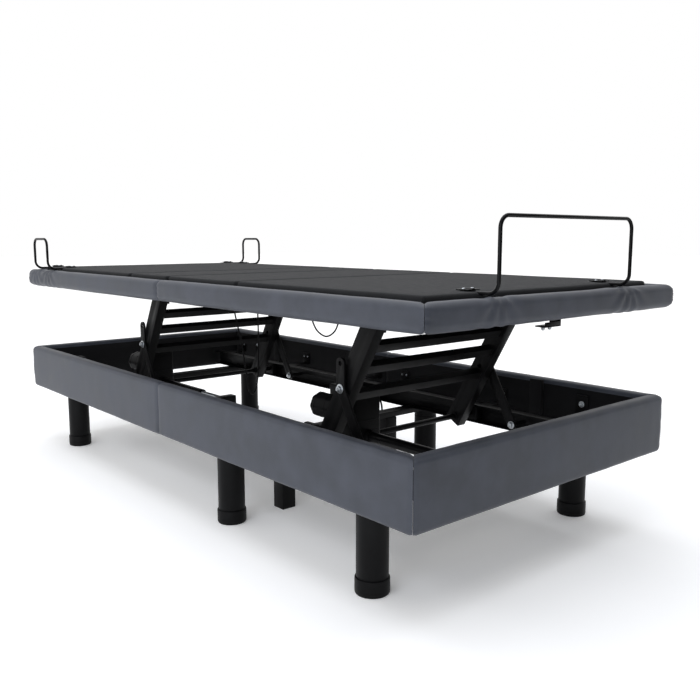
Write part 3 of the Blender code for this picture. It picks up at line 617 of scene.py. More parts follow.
def dome_screw(shape: Shape, seat: Corner, outward: Corner, radius: float = 0.0045) -> None:
    """Draws a pan-head screw with a recessed cross."""
    way = Vector(outward).normalized()
    base = Vector(seat)
    eased_round(
        shape, base, base + way * radius * 0.55, radius, 24, radius * 0.18, 3, end_radius=radius * 0.78,
        least=0.4,
    )
    side = way.orthogonal().normalized()
    floor = base + way * radius * 0.56
    for direction in (side, way.cross(side)):
        arm = direction * radius * 0.45
        slot = add_round(shape, floor - arm, floor + arm, radius * 0.09, 6)
        bmesh.ops.translate(shape, verts=slot, vec=way * radius * 0.02)


# --- upholstery -------------------------------------------------------------------------------


@dataclass
class PaddedRail:
    """One upholstered rail: leatherette pulled over thin foam on a board, mitred or square at its ends."""

    node: str
    along: int
    edge_radius: float
    crown: float = 0.0016
    seam_pull: float = 0.0028
    seam_reach: float = 0.011
    step: float = 0.009
    gather_reach: float = 0.05
    pucker_reach: float = 0.075
    pucker_depth: float = 0.0017
    puckers: tuple[float, ...] = ()
    lined: bool = False
    low: Vector = field(init=False)
    high: Vector = field(init=False)

    def __post_init__(self) -> None:
        """Reads the rail's CAD box."""
        self.low, self.high = box_of(self.node)

    def outward(self) -> int:
        """The sign of the outer face on the rail's short axis."""
        return 1 if self.low[1 - self.along] + self.high[1 - self.along] > 0 else -1

    def mitred(self, end: int) -> bool:
        """Whether an end, -1 or 1, is a corner of the bed."""
        reach = self.high[self.along] if end > 0 else -self.low[self.along]
        return reach > 0.1

    def pull(self, place: Vector) -> float:
        """How far the cover stands out from the board at a point, in metres.

        Args:
            place: The point before the mitre is made.

        Returns:
            The distance along the normal, negative where a seam pulls it in.
        """
        axis = self.along
        low, high = self.low, self.high
        height = (place.z - low.z) / (high.z - low.z)
        away = min(place[axis] - low[axis], high[axis] - place[axis])
        swell = self.crown * math.sin(math.pi * max(0.0, min(1.0, height))) * min(1.0, away / 0.06)
        seam = self.seam_pull * max(0.0, 1 - away / self.seam_reach) ** 2
        slow = noise.noise(Vector((place[axis] * 5.0, place.z * 9.0, self.outward() * 7.0 + axis))) * 0.0011
        ripple = noise.noise(Vector((place[axis] * 26.0, place.z * 14.0, 3.0 + axis))) * 0.00028
        drag = 0.0
        for centre in self.puckers:
            across = place[axis] - centre
            down = high.z - place.z
            reach = math.hypot(across, down * 0.8)
            fan = math.atan2(across, down + 0.012)
            fading = self.pucker_depth * math.exp(-((reach / self.pucker_reach) ** 2))
            drag += fading * math.cos(fan * 11.0 + centre * 9)
        gather = 0.0
        if away < self.gather_reach and self.mitred(1 if place[axis] > 0 else -1):
            gather = 0.0005 * math.sin(place.z * 420.0 + place[axis] * 60)
            gather *= (1 - away / self.gather_reach) ** 2
        return swell - seam + slow + ripple + drag + gather

    def draw(self) -> Shape:
        """Draws the padded bar, its swell and its seams, and mitres its ends."""
        low, high = self.low, self.high
        axis = self.along
        shape = bmesh.new()
        inset = Vector((0.0012,) * 3)
        inset[axis] = 0.0002
        points = add_block(shape, low + inset, high - inset)
        long_edges = edges_along(edges_of(points), axis, 0.01)
        soften(shape, long_edges, self.edge_radius, 7)
        upright = edges_along(shape.edges, 2, 0.02)
        leaning = set(edges_along(upright, axis, 1e-6))
        flats = [edge for edge in upright if edge not in leaning]
        bmesh.ops.subdivide_edges(shape, edges=flats, cuts=9, use_grid_fill=True)
        long_edges = edges_along(shape.edges, axis, 0.1)
        cuts = int((high[axis] - low[axis]) / self.step)
        bmesh.ops.subdivide_edges(shape, edges=long_edges, cuts=cuts, use_grid_fill=True)
        shape.normal_update()
        moves = [(point, point.normal.copy()) for point in shape.verts]
        for point, flat in moves:
            flat[axis] = 0
            if flat.length > 0.01:
                flat.normalize()
                point.co += flat * self.pull(point.co.copy())
        self.mitre(shape)
        return shape

    def mitre(self, shape: Shape) -> None:
        """Slides the points along the rail so that each corner end runs at 45 degrees."""
        low, high = self.low, self.high
        axis = self.along
        across = 1 - axis
        outer = high[across] if self.outward() > 0 else low[across]
        middle = 0.0 if self.mitred(-1) and self.mitred(1) else (low[axis] if self.mitred(1) else high[axis])
        for point in shape.verts:
            depth = abs(outer - point.co[across])
            reach = point.co[axis] - middle
            tip = (high[axis] if reach > 0 else low[axis]) - middle
            if abs(tip) > 0.1:
                point.co[axis] = middle + reach * (abs(tip) - depth) / abs(tip)

    def line_inner_face(self, piece: Piece) -> None:
        """Covers the inner face with lining cloth, up to just under the rounded edge."""
        low, high = self.low, self.high
        across = 1 - self.along
        inner = low[across] if self.outward() > 0 else high[across]
        piece.data.materials.append(LINING.material())
        for polygon in piece.data.polygons:
            near = abs(polygon.center[across] - inner) < 0.006
            facing = polygon.normal[across] * self.outward() < -0.8
            if near and facing and polygon.center.z < high.z - self.edge_radius * 1.05:
                polygon.material_index = 1

    def make(self) -> Piece:
        piece = finish_piece(
            f"{self.node}_cover", self.draw(), UPHOLSTERY, body_of(self.node), (self.node,), smooth_angle=60
        )
        if self.lined:
            self.line_inner_face(piece)
        return piece


@dataclass
class Upholstery:
    """The surround's and the border's padded rails, with their corner stitching."""

    stitch_length: float = 0.0034
    stitch_gap: float = 0.0050
    stitch_radius: float = 0.00042
    stitch_inset: float = 0.0036
    stitch_margin: float = 0.021
    retainer_at: tuple[float, ...] = (-0.242, 0.242)

    def rails(self) -> list[PaddedRail]:
        """Every rail, in the order they are built."""
        made = []
        for ring, radius in (("surround", 0.013), ("border", 0.0165)):
            lined = ring == "surround"
            for side in ("right", "left"):
                for end in ("head", "foot"):
                    puckers = (-0.95, -0.83) if ring == "border" and end == "head" else ()
                    made.append(PaddedRail(f"{ring}_{side}_{end}", 0, radius, puckers=puckers, lined=lined))
            for end in ("head", "foot"):
                puckers = self.retainer_at if (ring, end) == ("border", "foot") else ()
                made.append(PaddedRail(f"{ring}_{end}_end", 1, radius, puckers=puckers, lined=lined))
        return made

    def stitch_corner(self, ring: str, end: str, side: Side) -> Piece:
        """Sews one mitred corner with a line of short stitches down its outer edge."""
        end_low, end_high = box_of(f"{ring}_{end}_end")
        side_low, side_high = box_of(f"{ring}_{side.name.lower()}_{end}")
        way = 1 if end == "foot" else -1
        x = (end_high.x if way > 0 else end_low.x) - way * self.stitch_inset
        y = (side_high.y if side is Side.LEFT else side_low.y) - side.value * self.stitch_inset
        shape = bmesh.new()
        z = end_low.z + self.stitch_margin
        while z < end_high.z - self.stitch_margin:
            centre = Vector((x - way * 0.0006, y + side.value * 0.0022, z))
            half = Vector((0, 0, self.stitch_length / 2))
            eased_round(shape, centre - half, centre + half, self.stitch_radius, 8, self.stitch_radius * 0.5)
            z += self.stitch_gap
        return finish_piece(
            f"{ring}_{end}_{side.name.lower()}_stitches", shape, THREAD, body_of(f"{ring}_{end}_end")
        )

    def make(self) -> None:
        """Builds every rail and sews every corner."""
        for rail in self.rails():
            rail.make()
        for ring in ("surround", "border"):
            for end in ("head", "foot"):
                for side in Side:
                    self.stitch_corner(ring, end, side)


@dataclass
class PlatformSection:
    """One flat section of the platform: a board under thin foam, wrapped in black cloth."""

    node: str
    edge_radius: float = 0.007
    crown: float = 0.0022
    grid: float = 0.018
    thickness: float = 0.025

    def board(self) -> tuple[Vector, Vector]:
        """The section's flat part alone, without the crank plate that hangs from it."""
        shape = cad_copy(self.node)
        top = max(point.co.z for point in shape.verts)
        places = [point.co for point in shape.verts if point.co.z > top - 0.015]
        low = Vector(min(place[axis] for place in places) for axis in range(3))
        high = Vector(max(place[axis] for place in places) for axis in range(3))
        shape.free()
        low.z = top - self.thickness
        high.z = top
        return low, high

    def make(self) -> Piece:
        """Builds and dresses the section."""
        low, high = self.board()
        rim = Vector((0.0008,) * 3)
        shape = bmesh.new()
        eased_block(shape, low + rim, high - rim, self.edge_radius, 5)
        for axis in (0, 1):
            runs = edges_along(shape.edges, axis, 0.1)
            cuts = int((high[axis] - low[axis]) / self.grid)
            bmesh.ops.subdivide_edges(shape, edges=runs, cuts=cuts, use_grid_fill=True)
        for point in shape.verts:
            x, y, z = point.co
            edge = min(x - low.x, high.x - x, y - low.y, high.y - y)
            rise = min(1.0, max(0.0, edge / 0.05))
            wave = noise.noise(Vector((x * 7.0, y * 7.0, 2.0))) * 0.0009
            if z > high.z - self.thickness / 2:
                point.co.z += (self.crown * (rise * (2 - rise)) + wave) * 0.8 - self.crown
            elif z < low.z + self.thickness / 3:
                point.co.z -= wave * 0.3 * rise
        piece = finish_piece(f"{self.node}_pad", shape, PLATFORM_CLOTH, body_of(self.node), (self.node,), 60)
        return piece


# --- steel frame ------------------------------------------------------------------------------


@dataclass
class EasedPart:
    """A CAD part with its sharp edges eased, as folded and drawn steel or a moulded case has."""

    node: str
    finish: Finish
    width: float = 0.0012
    segments: int = 2
    sharp: float = math.radians(42)

    def make(self) -> Piece:
        """Copies the CAD mesh, rounds its edges and dresses it."""
        shape = cad_copy(self.node)
        pairs = [edge for edge in shape.edges if len(edge.link_faces) == 2]
        edges = [edge for edge in pairs if edge.calc_face_angle(0.0) > self.sharp]
        soften(shape, edges, self.width, self.segments)
        return finish_piece(f"{self.node}_part", shape, self.finish, body_of(self.node), (self.node,), 35)


@dataclass
class BaseFrame:
    """Rails, cross tubes, posts and rod anchors, with the surround's fixing hardware."""

    hole_radius: float = 0.0045
    hole_count: int = 5
    hole_pitch: float = 0.082
    bracket_x: tuple[float, ...] = (-0.92, -0.46, -0.04, 0.10, 0.52, 0.94)
    bracket_half: float = 0.020
    bracket_height: float = 0.040
    batten_x: tuple[float, ...] = (-0.65, 0.65)
    batten_width: float = 0.042
    batten_thickness: float = 0.012
    plate_x: tuple[float, ...] = (-0.80, 0.80)
    plate: tuple[float, float, float] = (0.040, 0.003, 0.058)

    def steel(self) -> None:
        """Eases every welded and bolted steel part of the base."""
        for side in ("right", "left"):
            EasedPart(f"base_rail_{side}", BLACK_POWDER, 0.0010).make()
            EasedPart(f"centre_post_{side}", BLACK_POWDER, 0.0009).make()
        for place in ("head", "middle", "foot"):
            EasedPart(f"cross_tube_{place}", BLACK_POWDER, 0.0011).make()
        for unit in Unit:
            EasedPart(f"{unit.value}_rod_anchor", BLACK_POWDER, 0.0011).make()
            EasedPart(f"{unit.value}_lift_rod", ZINC, 0.0008).make()

    def battens(self) -> None:
        """Stands the black battens and the bolted corner plates against the surround's inner faces."""
        wood = bmesh.new()
        plates = bmesh.new()
        bolts = bmesh.new()
        for side in Side:
            low, high = box_of(f"surround_{side.name.lower()}_foot")
            inner = low.y if side is Side.LEFT else high.y
            face = inner - side.value * 0.0016
            for x in self.batten_x:
                near, far = sorted((face, face - side.value * self.batten_thickness))
                eased_block(
                    wood, (x - self.batten_width / 2, near, low.z + 0.030),
                    (x + self.batten_width / 2, far, high.z - 0.004), 0.002, 2,
                )
            for x in self.plate_x:
                width, thickness, height = self.plate
                near, far = sorted((face, face - side.value * thickness))
                middle = (low.z + high.z) / 2 + 0.018
                corner = (x - width / 2, near, middle - height / 2)
                points = add_block(plates, corner, (x + width / 2, far, middle + height / 2))
                upright = edges_along(edges_of(points), 1, thickness / 2)
                soften(plates, upright, 0.005, 4)
                seat = (x, face - side.value * thickness, middle + 0.004)
                hex_bolt(bolts, seat, (0, -side.value, 0), 0.010, 0.002)
        finish_piece("surround_battens", wood, LINING, Body.BASE.value)
        finish_piece("surround_corner_plates", plates, BLACK_POWDER, Body.BASE.value)
        finish_piece("surround_plate_bolts", bolts, ZINC, Body.BASE.value)

    def brackets(self) -> None:
        """Hangs the surround from the rails with folded angle brackets and coach screws."""
        shape = bmesh.new()
        screws = bmesh.new()
        for side in Side:
            rail_low, rail_high = box_of(f"base_rail_{side.name.lower()}")
            surround_low, surround_high = box_of(f"surround_{side.name.lower()}_foot")
            rail_face = rail_high.y if side is Side.LEFT else rail_low.y
            wall = (surround_low.y if side is Side.LEFT else surround_high.y) - side.value * 0.0018
            for x in self.bracket_x:
                z = rail_high.z - 0.004
                start, end = x - self.bracket_half, x + self.bracket_half
                top = z + self.bracket_height
                near, far = sorted((rail_face + side.value * 0.001, wall))
                eased_block(shape, (start, near, z - 0.003), (end, far, z), 0.0007, 2)
                near, far = sorted((wall, wall - side.value * 0.003))
                eased_block(shape, (start, near, z - 0.002), (end, far, top), 0.0007, 2)
                for offset in (-0.010, 0.010):
                    dome_screw(
                        screws, (x + offset, wall - side.value * 0.003, z + 0.026), (0, -side.value, 0),
                        0.0042,
                    )
        finish_piece("surround_angle_brackets", shape, BLACK_POWDER, Body.BASE.value)
        finish_piece("surround_bracket_screws", screws, ZINC, Body.BASE.value)

    def holes(self) -> None:
        """Rings the punched holes along the cross tubes, and closes the tubes' ends with plugs."""
        rims = bmesh.new()
        plugs = bmesh.new()
        for place in ("head", "middle", "foot"):
            low, high = box_of(f"cross_tube_{place}")
            middle_x = (low.x + high.x) / 2
            for index in range(self.hole_count):
                y = (index - (self.hole_count - 1) / 2) * self.hole_pitch
                for z, way in ((high.z, 1), (low.z, -1)):
                    eased_round(
                        rims, (middle_x, y, z - way * 0.0008), (middle_x, y, z + way * 0.0003),
                        self.hole_radius, 24, 0.0003,
                    )
            for way in (-1, 1):
                y = high.y if way > 0 else low.y
                near, far = sorted((y - way * 0.008, y + way * 0.0002))
                eased_block(
                    plugs, (low.x + 0.003, near, low.z + 0.003), (high.x - 0.003, far, high.z - 0.003),
                    0.001, 2,
                )
        finish_piece("cross_tube_hole_rims", rims, NYLON, Body.BASE.value)
        finish_piece("cross_tube_plugs", plugs, NYLON, Body.BASE.value)

    def make(self) -> None:
        """Builds the base frame."""
        self.steel()
        self.battens()
        self.brackets()
        self.holes()


@dataclass
class Leg:
    """A turned black leg: a satin shaft, a seam ring near its top, and a wider foot cap."""

    node: str
    groove_depth: float = 0.0012
    cap_height: float = 0.038
    cap_step: float = 0.003
    seam_drop: float = 0.0181
    sides: int = 64

    def profile(self) -> list[tuple[float, float]]:
        """Radius and height of the leg's outline, from the floor up."""
        low, high = box_of(self.node)
        cap = (high.x - low.x) / 2
        shaft = cap - self.cap_step
        seam = high.z - self.seam_drop
        groove = self.groove_depth
        return [
            (0.0, 0.0),
            (cap - 0.0045, 0.0),
            (cap - 0.0016, 0.0009),
            (cap - 0.0004, 0.0032),
            (cap, 0.007),
            (cap, self.cap_height - 0.004),
            (cap - 0.0005, self.cap_height - 0.0014),
            (cap - 0.0018, self.cap_height - 0.0003),
            (shaft + 0.0002, self.cap_height),
            (shaft - 0.0006, self.cap_height + 0.0006),
            (shaft, self.cap_height + 0.0022),
            (shaft, seam - 0.0016),
            (shaft - groove, seam - 0.0007),
            (shaft - groove, seam + 0.0007),
            (shaft, seam + 0.0016),
            (shaft, high.z - 0.0012),
            (shaft - 0.0012, high.z),
            (0.0, high.z),
        ]

    def make(self) -> Piece:
        """Turns the profile about the leg's own line."""
        low, high = box_of(self.node)
        centre = Vector(((low.x + high.x) / 2, (low.y + high.y) / 2, 0))
        shape = bmesh.new()
        outline = [shape.verts.new(centre + Vector((radius, 0, height))) for radius, height in self.profile()]
        edges = [shape.edges.new(pair) for pair in zip(outline, outline[1:])]
        bmesh.ops.spin(
            shape, geom=outline + edges, cent=centre, axis=(0, 0, 1), dvec=(0, 0, 0), angle=2 * math.pi,
            steps=self.sides, use_merge=True,
        )
        bmesh.ops.remove_doubles(shape, verts=shape.verts, dist=0.00002)
        return finish_piece(f"{self.node}_turned", shape, LEG_PLASTIC, Body.BASE.value, (self.node,), 35)


# --- lift units -------------------------------------------------------------------------------


@dataclass
class LiftUnit:
    """One half-scissor unit: arm frame, stays, slide shaft and actuator."""

    unit: Unit
    pivots: dict[str, Vector] = field(default_factory=dict)
    stay_thickness: float = 0.006
    arm_thickness: float = 0.030
    shaft_radius: float = 0.008
    motor_radius: float = 0.036
    gearbox_half: float = 0.035
    tubes_along: tuple[float, ...] = (0.122, 0.059, -0.022)
    tube_offset: float = 0.004
    tube_half: float = 0.0112
    motor_rise: float = 0.062
    tube_rise: float = 0.010

    def __post_init__(self) -> None:
        """Reads the unit's pivots from the joints."""
        wanted = {
            Unit.FOOT: ("lift", "foot_arms_on_stays", "foot_slide_on_arms", "deck_on_foot_arms"),
            Unit.HEAD: ("head_stays_on_base", "head_arms_on_stays", "head_slide_on_arms", ""),
        }[self.unit]
        places = {joint["name"]: Vector(joint["pos_m"]) for joint in frame["joints"] if joint.get("pos_m")}
        for label, name in zip(("base", "middle", "slide", "top"), wanted):
            if name:
                self.pivots[label] = places[name]
        if "top" not in self.pivots:
            self.pivots["top"] = self.pivots["middle"] * 2 - self.pivots["slide"]

    def name(self, part: str) -> str:
        """A node or piece name of this unit."""
        return f"{self.unit.value}_{part}"

    def arms(self) -> None:
        """Eases the welded arm frame and adds its weld beads and end caps."""
        frame_node = self.name("arm_frame")
        EasedPart(frame_node, BLACK_POWDER, 0.0026, 3).make()
        body = body_of(frame_node)
        slide, top, middle = self.pivots["slide"], self.pivots["top"], self.pivots["middle"]
        along = (top - slide).normalized()
        across = Vector((along.z, 0, -along.x))
        outer = box_of(frame_node)[1].y
        inner = outer - self.arm_thickness
        beads = bmesh.new()
        for distance in self.tubes_along:
            centre = middle + along * distance + across * self.tube_offset
            for side in Side:
                y = side.value * (inner - 0.0004)
                corners = [(-1, -1), (1, -1), (1, 1), (-1, 1)]
                for (a, b), (c, d) in zip(corners, corners[1:] + corners[:1]):
                    start = centre + (along * a + across * b) * self.tube_half
                    end = centre + (along * c + across * d) * self.tube_half
                    bead = add_round(beads, (start.x, y, start.z), (end.x, y, end.z), 0.0021, 10)
                    for point in bead:
                        lump = noise.noise(point.co * 240.0) * 0.0006
                        point.co.y -= side.value * abs(lump)
        finish_piece(self.name("arm_welds"), beads, BLACK_POWDER, body, smooth_angle=60)
        caps = bmesh.new()
        for end, way, reach in ((slide, -1, 0.018), (top, 1, 0.010)):
            for side in Side:
                y = side.value * (outer - self.arm_thickness / 2)
                centre = end + along * way * (reach - 0.0045)
                self.cap_arm(caps, Vector((centre.x, y, centre.z)), along, across)
        finish_piece(self.name("arm_end_caps"), caps, NYLON, body)

    def cap_arm(self, shape: Shape, centre: Vector, along: Vector, across: Vector) -> None:
        """Plugs one open end of a box arm with a nylon insert."""
        eased_block(shape, (-0.0042, -0.0118, -0.0218), (0.0042, 0.0118, 0.0218), 0.0012, 2)
        points = [point for point in shape.verts if point.co.length < 0.04]
        turn = Matrix((along, (0, 1, 0), -across)).transposed().to_4x4()
        bmesh.ops.transform(shape, matrix=Matrix.Translation(centre) @ turn, verts=points)

    def stays(self) -> None:
        """Bolts the flat stays on: a zinc flange bolt and washer at each of their pivots."""
        bolts = bmesh.new()
        body = body_of(self.name("stay_right"))
        for side in Side:
            node = self.name(f"stay_{side.name.lower()}")
            EasedPart(node, BLACK_POWDER, 0.0009).make()
            middle, base = self.pivots["middle"], self.pivots["base"]
            face = box_of(self.name("stay_left"))[1].y
            outer = side.value * (face + 0.0003)
            hex_bolt(bolts, (middle.x, outer, middle.z), (0, side.value, 0), 0.0135, 0.003)
            inner = side.value * (face - self.stay_thickness - 0.0004)
            hex_bolt(bolts, (base.x, inner, base.z), (0, -side.value, 0), 0.0125, 0.0005)
        finish_piece(self.name("stay_bolts"), bolts, ZINC, body)

    def slide(self) -> None:
        """Dresses the slide shaft and its nylon blocks."""
        node = self.name("slide_shaft")
        low, high = box_of(node)
        arm_face = box_of(self.name("arm_frame"))[1].y
        centre = self.pivots["slide"]
        body = body_of(node)
        bar = bmesh.new()
        eased_round(
            bar, (centre.x, low.y + 0.002, centre.z), (centre.x, high.y - 0.002, centre.z),
            self.shaft_radius, 32, 0.0008, 2,
        )
        for side in Side:
            for y in (arm_face + 0.004, arm_face - self.arm_thickness - 0.004):
                eased_round(
                    bar, (centre.x, side.value * (y - 0.0012), centre.z),
                    (centre.x, side.value * (y + 0.0012), centre.z), 0.0125, 32, 0.0004,
                )
        finish_piece(self.name("slide_bar"), bar, BLACK_POWDER, body, (node,))
        blocks = bmesh.new()
        for side in Side:
            near, far = sorted((side.value * 0.305, side.value * (high.y - 0.0004)))
            eased_block(blocks, (low.x, near, low.z), (high.x, far, high.z), 0.0035, 3)
        finish_piece(self.name("slide_blocks"), blocks, NYLON, body, (node,))

    def actuator(self) -> None:
        """Builds the lift actuator: gearbox case, ribbed motor can, drive tube, gland and screws."""
        node = self.name("lift_actuator")
        low, high = box_of(node)
        body = body_of(node)
        centre = self.pivots["slide"]
        y = (low.y + high.y) / 2
        case_low = Vector((centre.x - self.gearbox_half, low.y, low.z))
        case_high = Vector((centre.x + self.gearbox_half, high.y, high.z))
        case = bmesh.new()
        eased_block(case, case_low, case_high, 0.007, 4)
        for z in (centre.z + 0.022, centre.z + 0.050, centre.z + 0.110):
            eased_block(
                case, (case_low.x - 0.0006, case_low.y + 0.006, z),
                (case_high.x + 0.0006, case_high.y - 0.006, z + 0.003), 0.0006,
            )
        finish_piece(self.name("gearbox"), case, HOUSING_PLASTIC, body, (node,))
        motor_z = centre.z + self.motor_rise
        can = bmesh.new()
        eased_round(
            can, (case_low.x + 0.01, y, motor_z), (low.x + 0.006, y, motor_z), self.motor_radius, 8, 0.005,
            4, least=0.3,
        )
        eased_round(
            can, (low.x + 0.008, y, motor_z), (low.x, y, motor_z), self.motor_radius * 0.82, 8, 0.0025, 2,
            end_radius=self.motor_radius * 0.70, least=0.3,
        )
        for distance in (0.030, 0.072, 0.114):
            eased_round(
                can, (case_low.x - distance, y, motor_z), (case_low.x - distance - 0.003, y, motor_z),
                self.motor_radius + 0.0006, 8, 0.001, 2, least=0.3,
            )
        finish_piece(self.name("lift_motor_can"), can, HOUSING_PLASTIC, body, (node,))
        tube_z = centre.z + self.tube_rise
        tube = bmesh.new()
        eased_round(tube, (case_high.x - 0.004, y, tube_z), (high.x - 0.012, y, tube_z), 0.0138, 40, 0.0006)
        finish_piece(self.name("lift_tube"), tube, MACHINED_TUBE, body, (node,))
        trim = bmesh.new()
        eased_round(trim, (high.x - 0.016, y, tube_z), (high.x, y, tube_z), 0.0140, 36, 0.0012, 3)
        eased_round(
            trim, (case_high.x - 0.001, y, tube_z), (case_high.x + 0.014, y, tube_z), 0.0175, 36, 0.0012, 2,
            end_radius=0.0158,
        )
        eased_round(
            trim, (case_low.x + 0.02, case_high.y - 0.002, motor_z + 0.03),
            (case_low.x + 0.02, case_high.y + 0.004, motor_z + 0.03), 0.006, 20, 0.001, 2,
        )
        finish_piece(self.name("lift_tube_trim"), trim, NYLON, body, (node,))
        screws = bmesh.new()
        for x in (case_low.x + 0.009, case_high.x - 0.009):
            for z in (case_low.z + 0.010, case_high.z - 0.010):
                dome_screw(screws, (x, case_low.y, z), (0, -1, 0), 0.0038)
        finish_piece(self.name("gearbox_screws"), screws, ZINC, body)

    def hangers(self) -> None:
        """Eases the deck beam with its hangers, and puts a bolt through each hanger."""
        node = self.name("deck_beam")
        EasedPart(node, GREY_POWDER, 0.0014).make()
        bolts = bmesh.new()
        top = self.pivots["top"]
        hanger_face = box_of(self.name("arm_frame"))[1].y - self.arm_thickness - 0.0083
        for side in Side:
            hex_bolt(bolts, (top.x, side.value * hanger_face, top.z), (0, -side.value, 0), 0.0125, 0.002)
        finish_piece(self.name("hanger_bolts"), bolts, ZINC, Body.DECK.value)

    def make(self) -> None:
        """Builds the whole lift unit."""
        self.arms()
        self.stays()
        self.slide()
        self.actuator()
        self.hangers()


# --- deck -------------------------------------------------------------------------------------


@dataclass
class DeckDrive:
    """A deck actuator, its rod, and the crank plate that it pushes."""

    name: str
    section: str
    hinge: Vector
    swing: float
    direction: int
    root: float
    crank: float = 0.120
    housing_start: float = 0.050

    def pin(self) -> Vector:
        """Where the crank's pin stands at rest."""
        half = math.radians(self.swing) / 2
        return self.hinge + Vector(
            (-self.direction * self.crank * math.sin(half), 0, -self.crank * math.cos(half))
        )

    def crank_plate(self) -> None:
        """Builds the crank plate, its pin and its weld foot."""
        middle = self.line().y
        side = middle + 0.018
        pin = self.pin()
        foot = (self.root, box_of(self.section)[1].z - 0.024)
        shape = bmesh.new()
        outline = bar_outline((pin.x, pin.z), foot, 0.0128)
        points = add_plate(shape, outline, side, side + 0.006)
        soften(shape, sharp_edges(points), 0.0008, 2)
        body = body_of(self.section)
        finish_piece(f"{self.name}_crank_plate", shape, BLACK_POWDER, body, (self.section,))
        bar = bmesh.new()
        eased_round(bar, (pin.x, middle - 0.005, pin.z), (pin.x, side + 0.009, pin.z), 0.006, 28, 0.0008, 2)
        eased_round(bar, (pin.x, side - 0.0016, pin.z), (pin.x, side, pin.z), 0.0105, 28, 0.0004)
        finish_piece(f"{self.name}_crank_pin", bar, ZINC, body)

    def line(self) -> Vector:
        """A point on the actuator's centre line."""
        low, high = box_of(f"{self.name}_rod")
        return (low + high) / 2

    def motor(self) -> None:
        """Builds the housing in two half shells, with its tube, rib and screws."""
        node = f"{self.name}_actuator"
        low, high = box_of(node)
        line = self.line()
        shell_low = Vector((self.housing_start, low.y, low.z))
        body = Body.DECK.value
        shape = bmesh.new()
        eased_block(shape, shell_low, high, 0.009, 4)
        eased_block(
            shape, (shell_low.x - 0.0006, low.y - 0.0004, line.z - 0.0012),
            (high.x + 0.0004, high.y + 0.0004, line.z + 0.0012), 0.0004,
        )
        for x in (shell_low.x + 0.035, shell_low.x + 0.070, shell_low.x + 0.105):
            eased_block(
                shape, (x, low.y - 0.0008, shell_low.z + 0.008),
                (x + 0.003, high.y + 0.0008, high.z - 0.008), 0.0007,
            )
        finish_piece(f"{self.name}_motor_case", shape, HOUSING_PLASTIC, body, (node,))
        tube = bmesh.new()
        eased_round(
            tube, (low.x, line.y, line.z), (shell_low.x + 0.006, line.y, line.z), 0.0155, 40, 0.0008, 2
        )
        finish_piece(f"{self.name}_drive_tube", tube, MACHINED_TUBE, body, (node,))
        screws = bmesh.new()
        for x in (shell_low.x + 0.012, high.x - 0.012):
            for y in (low.y + 0.012, high.y - 0.012):
                dome_screw(screws, (x, y, shell_low.z + 0.0003), (0, 0, -1), 0.0038)
        finish_piece(f"{self.name}_case_screws", screws, ZINC, body)

    def make(self) -> None:
        """Builds the drive."""
        self.crank_plate()
        self.motor()
        EasedPart(f"{self.name}_rod", ZINC, 0.0007).make()


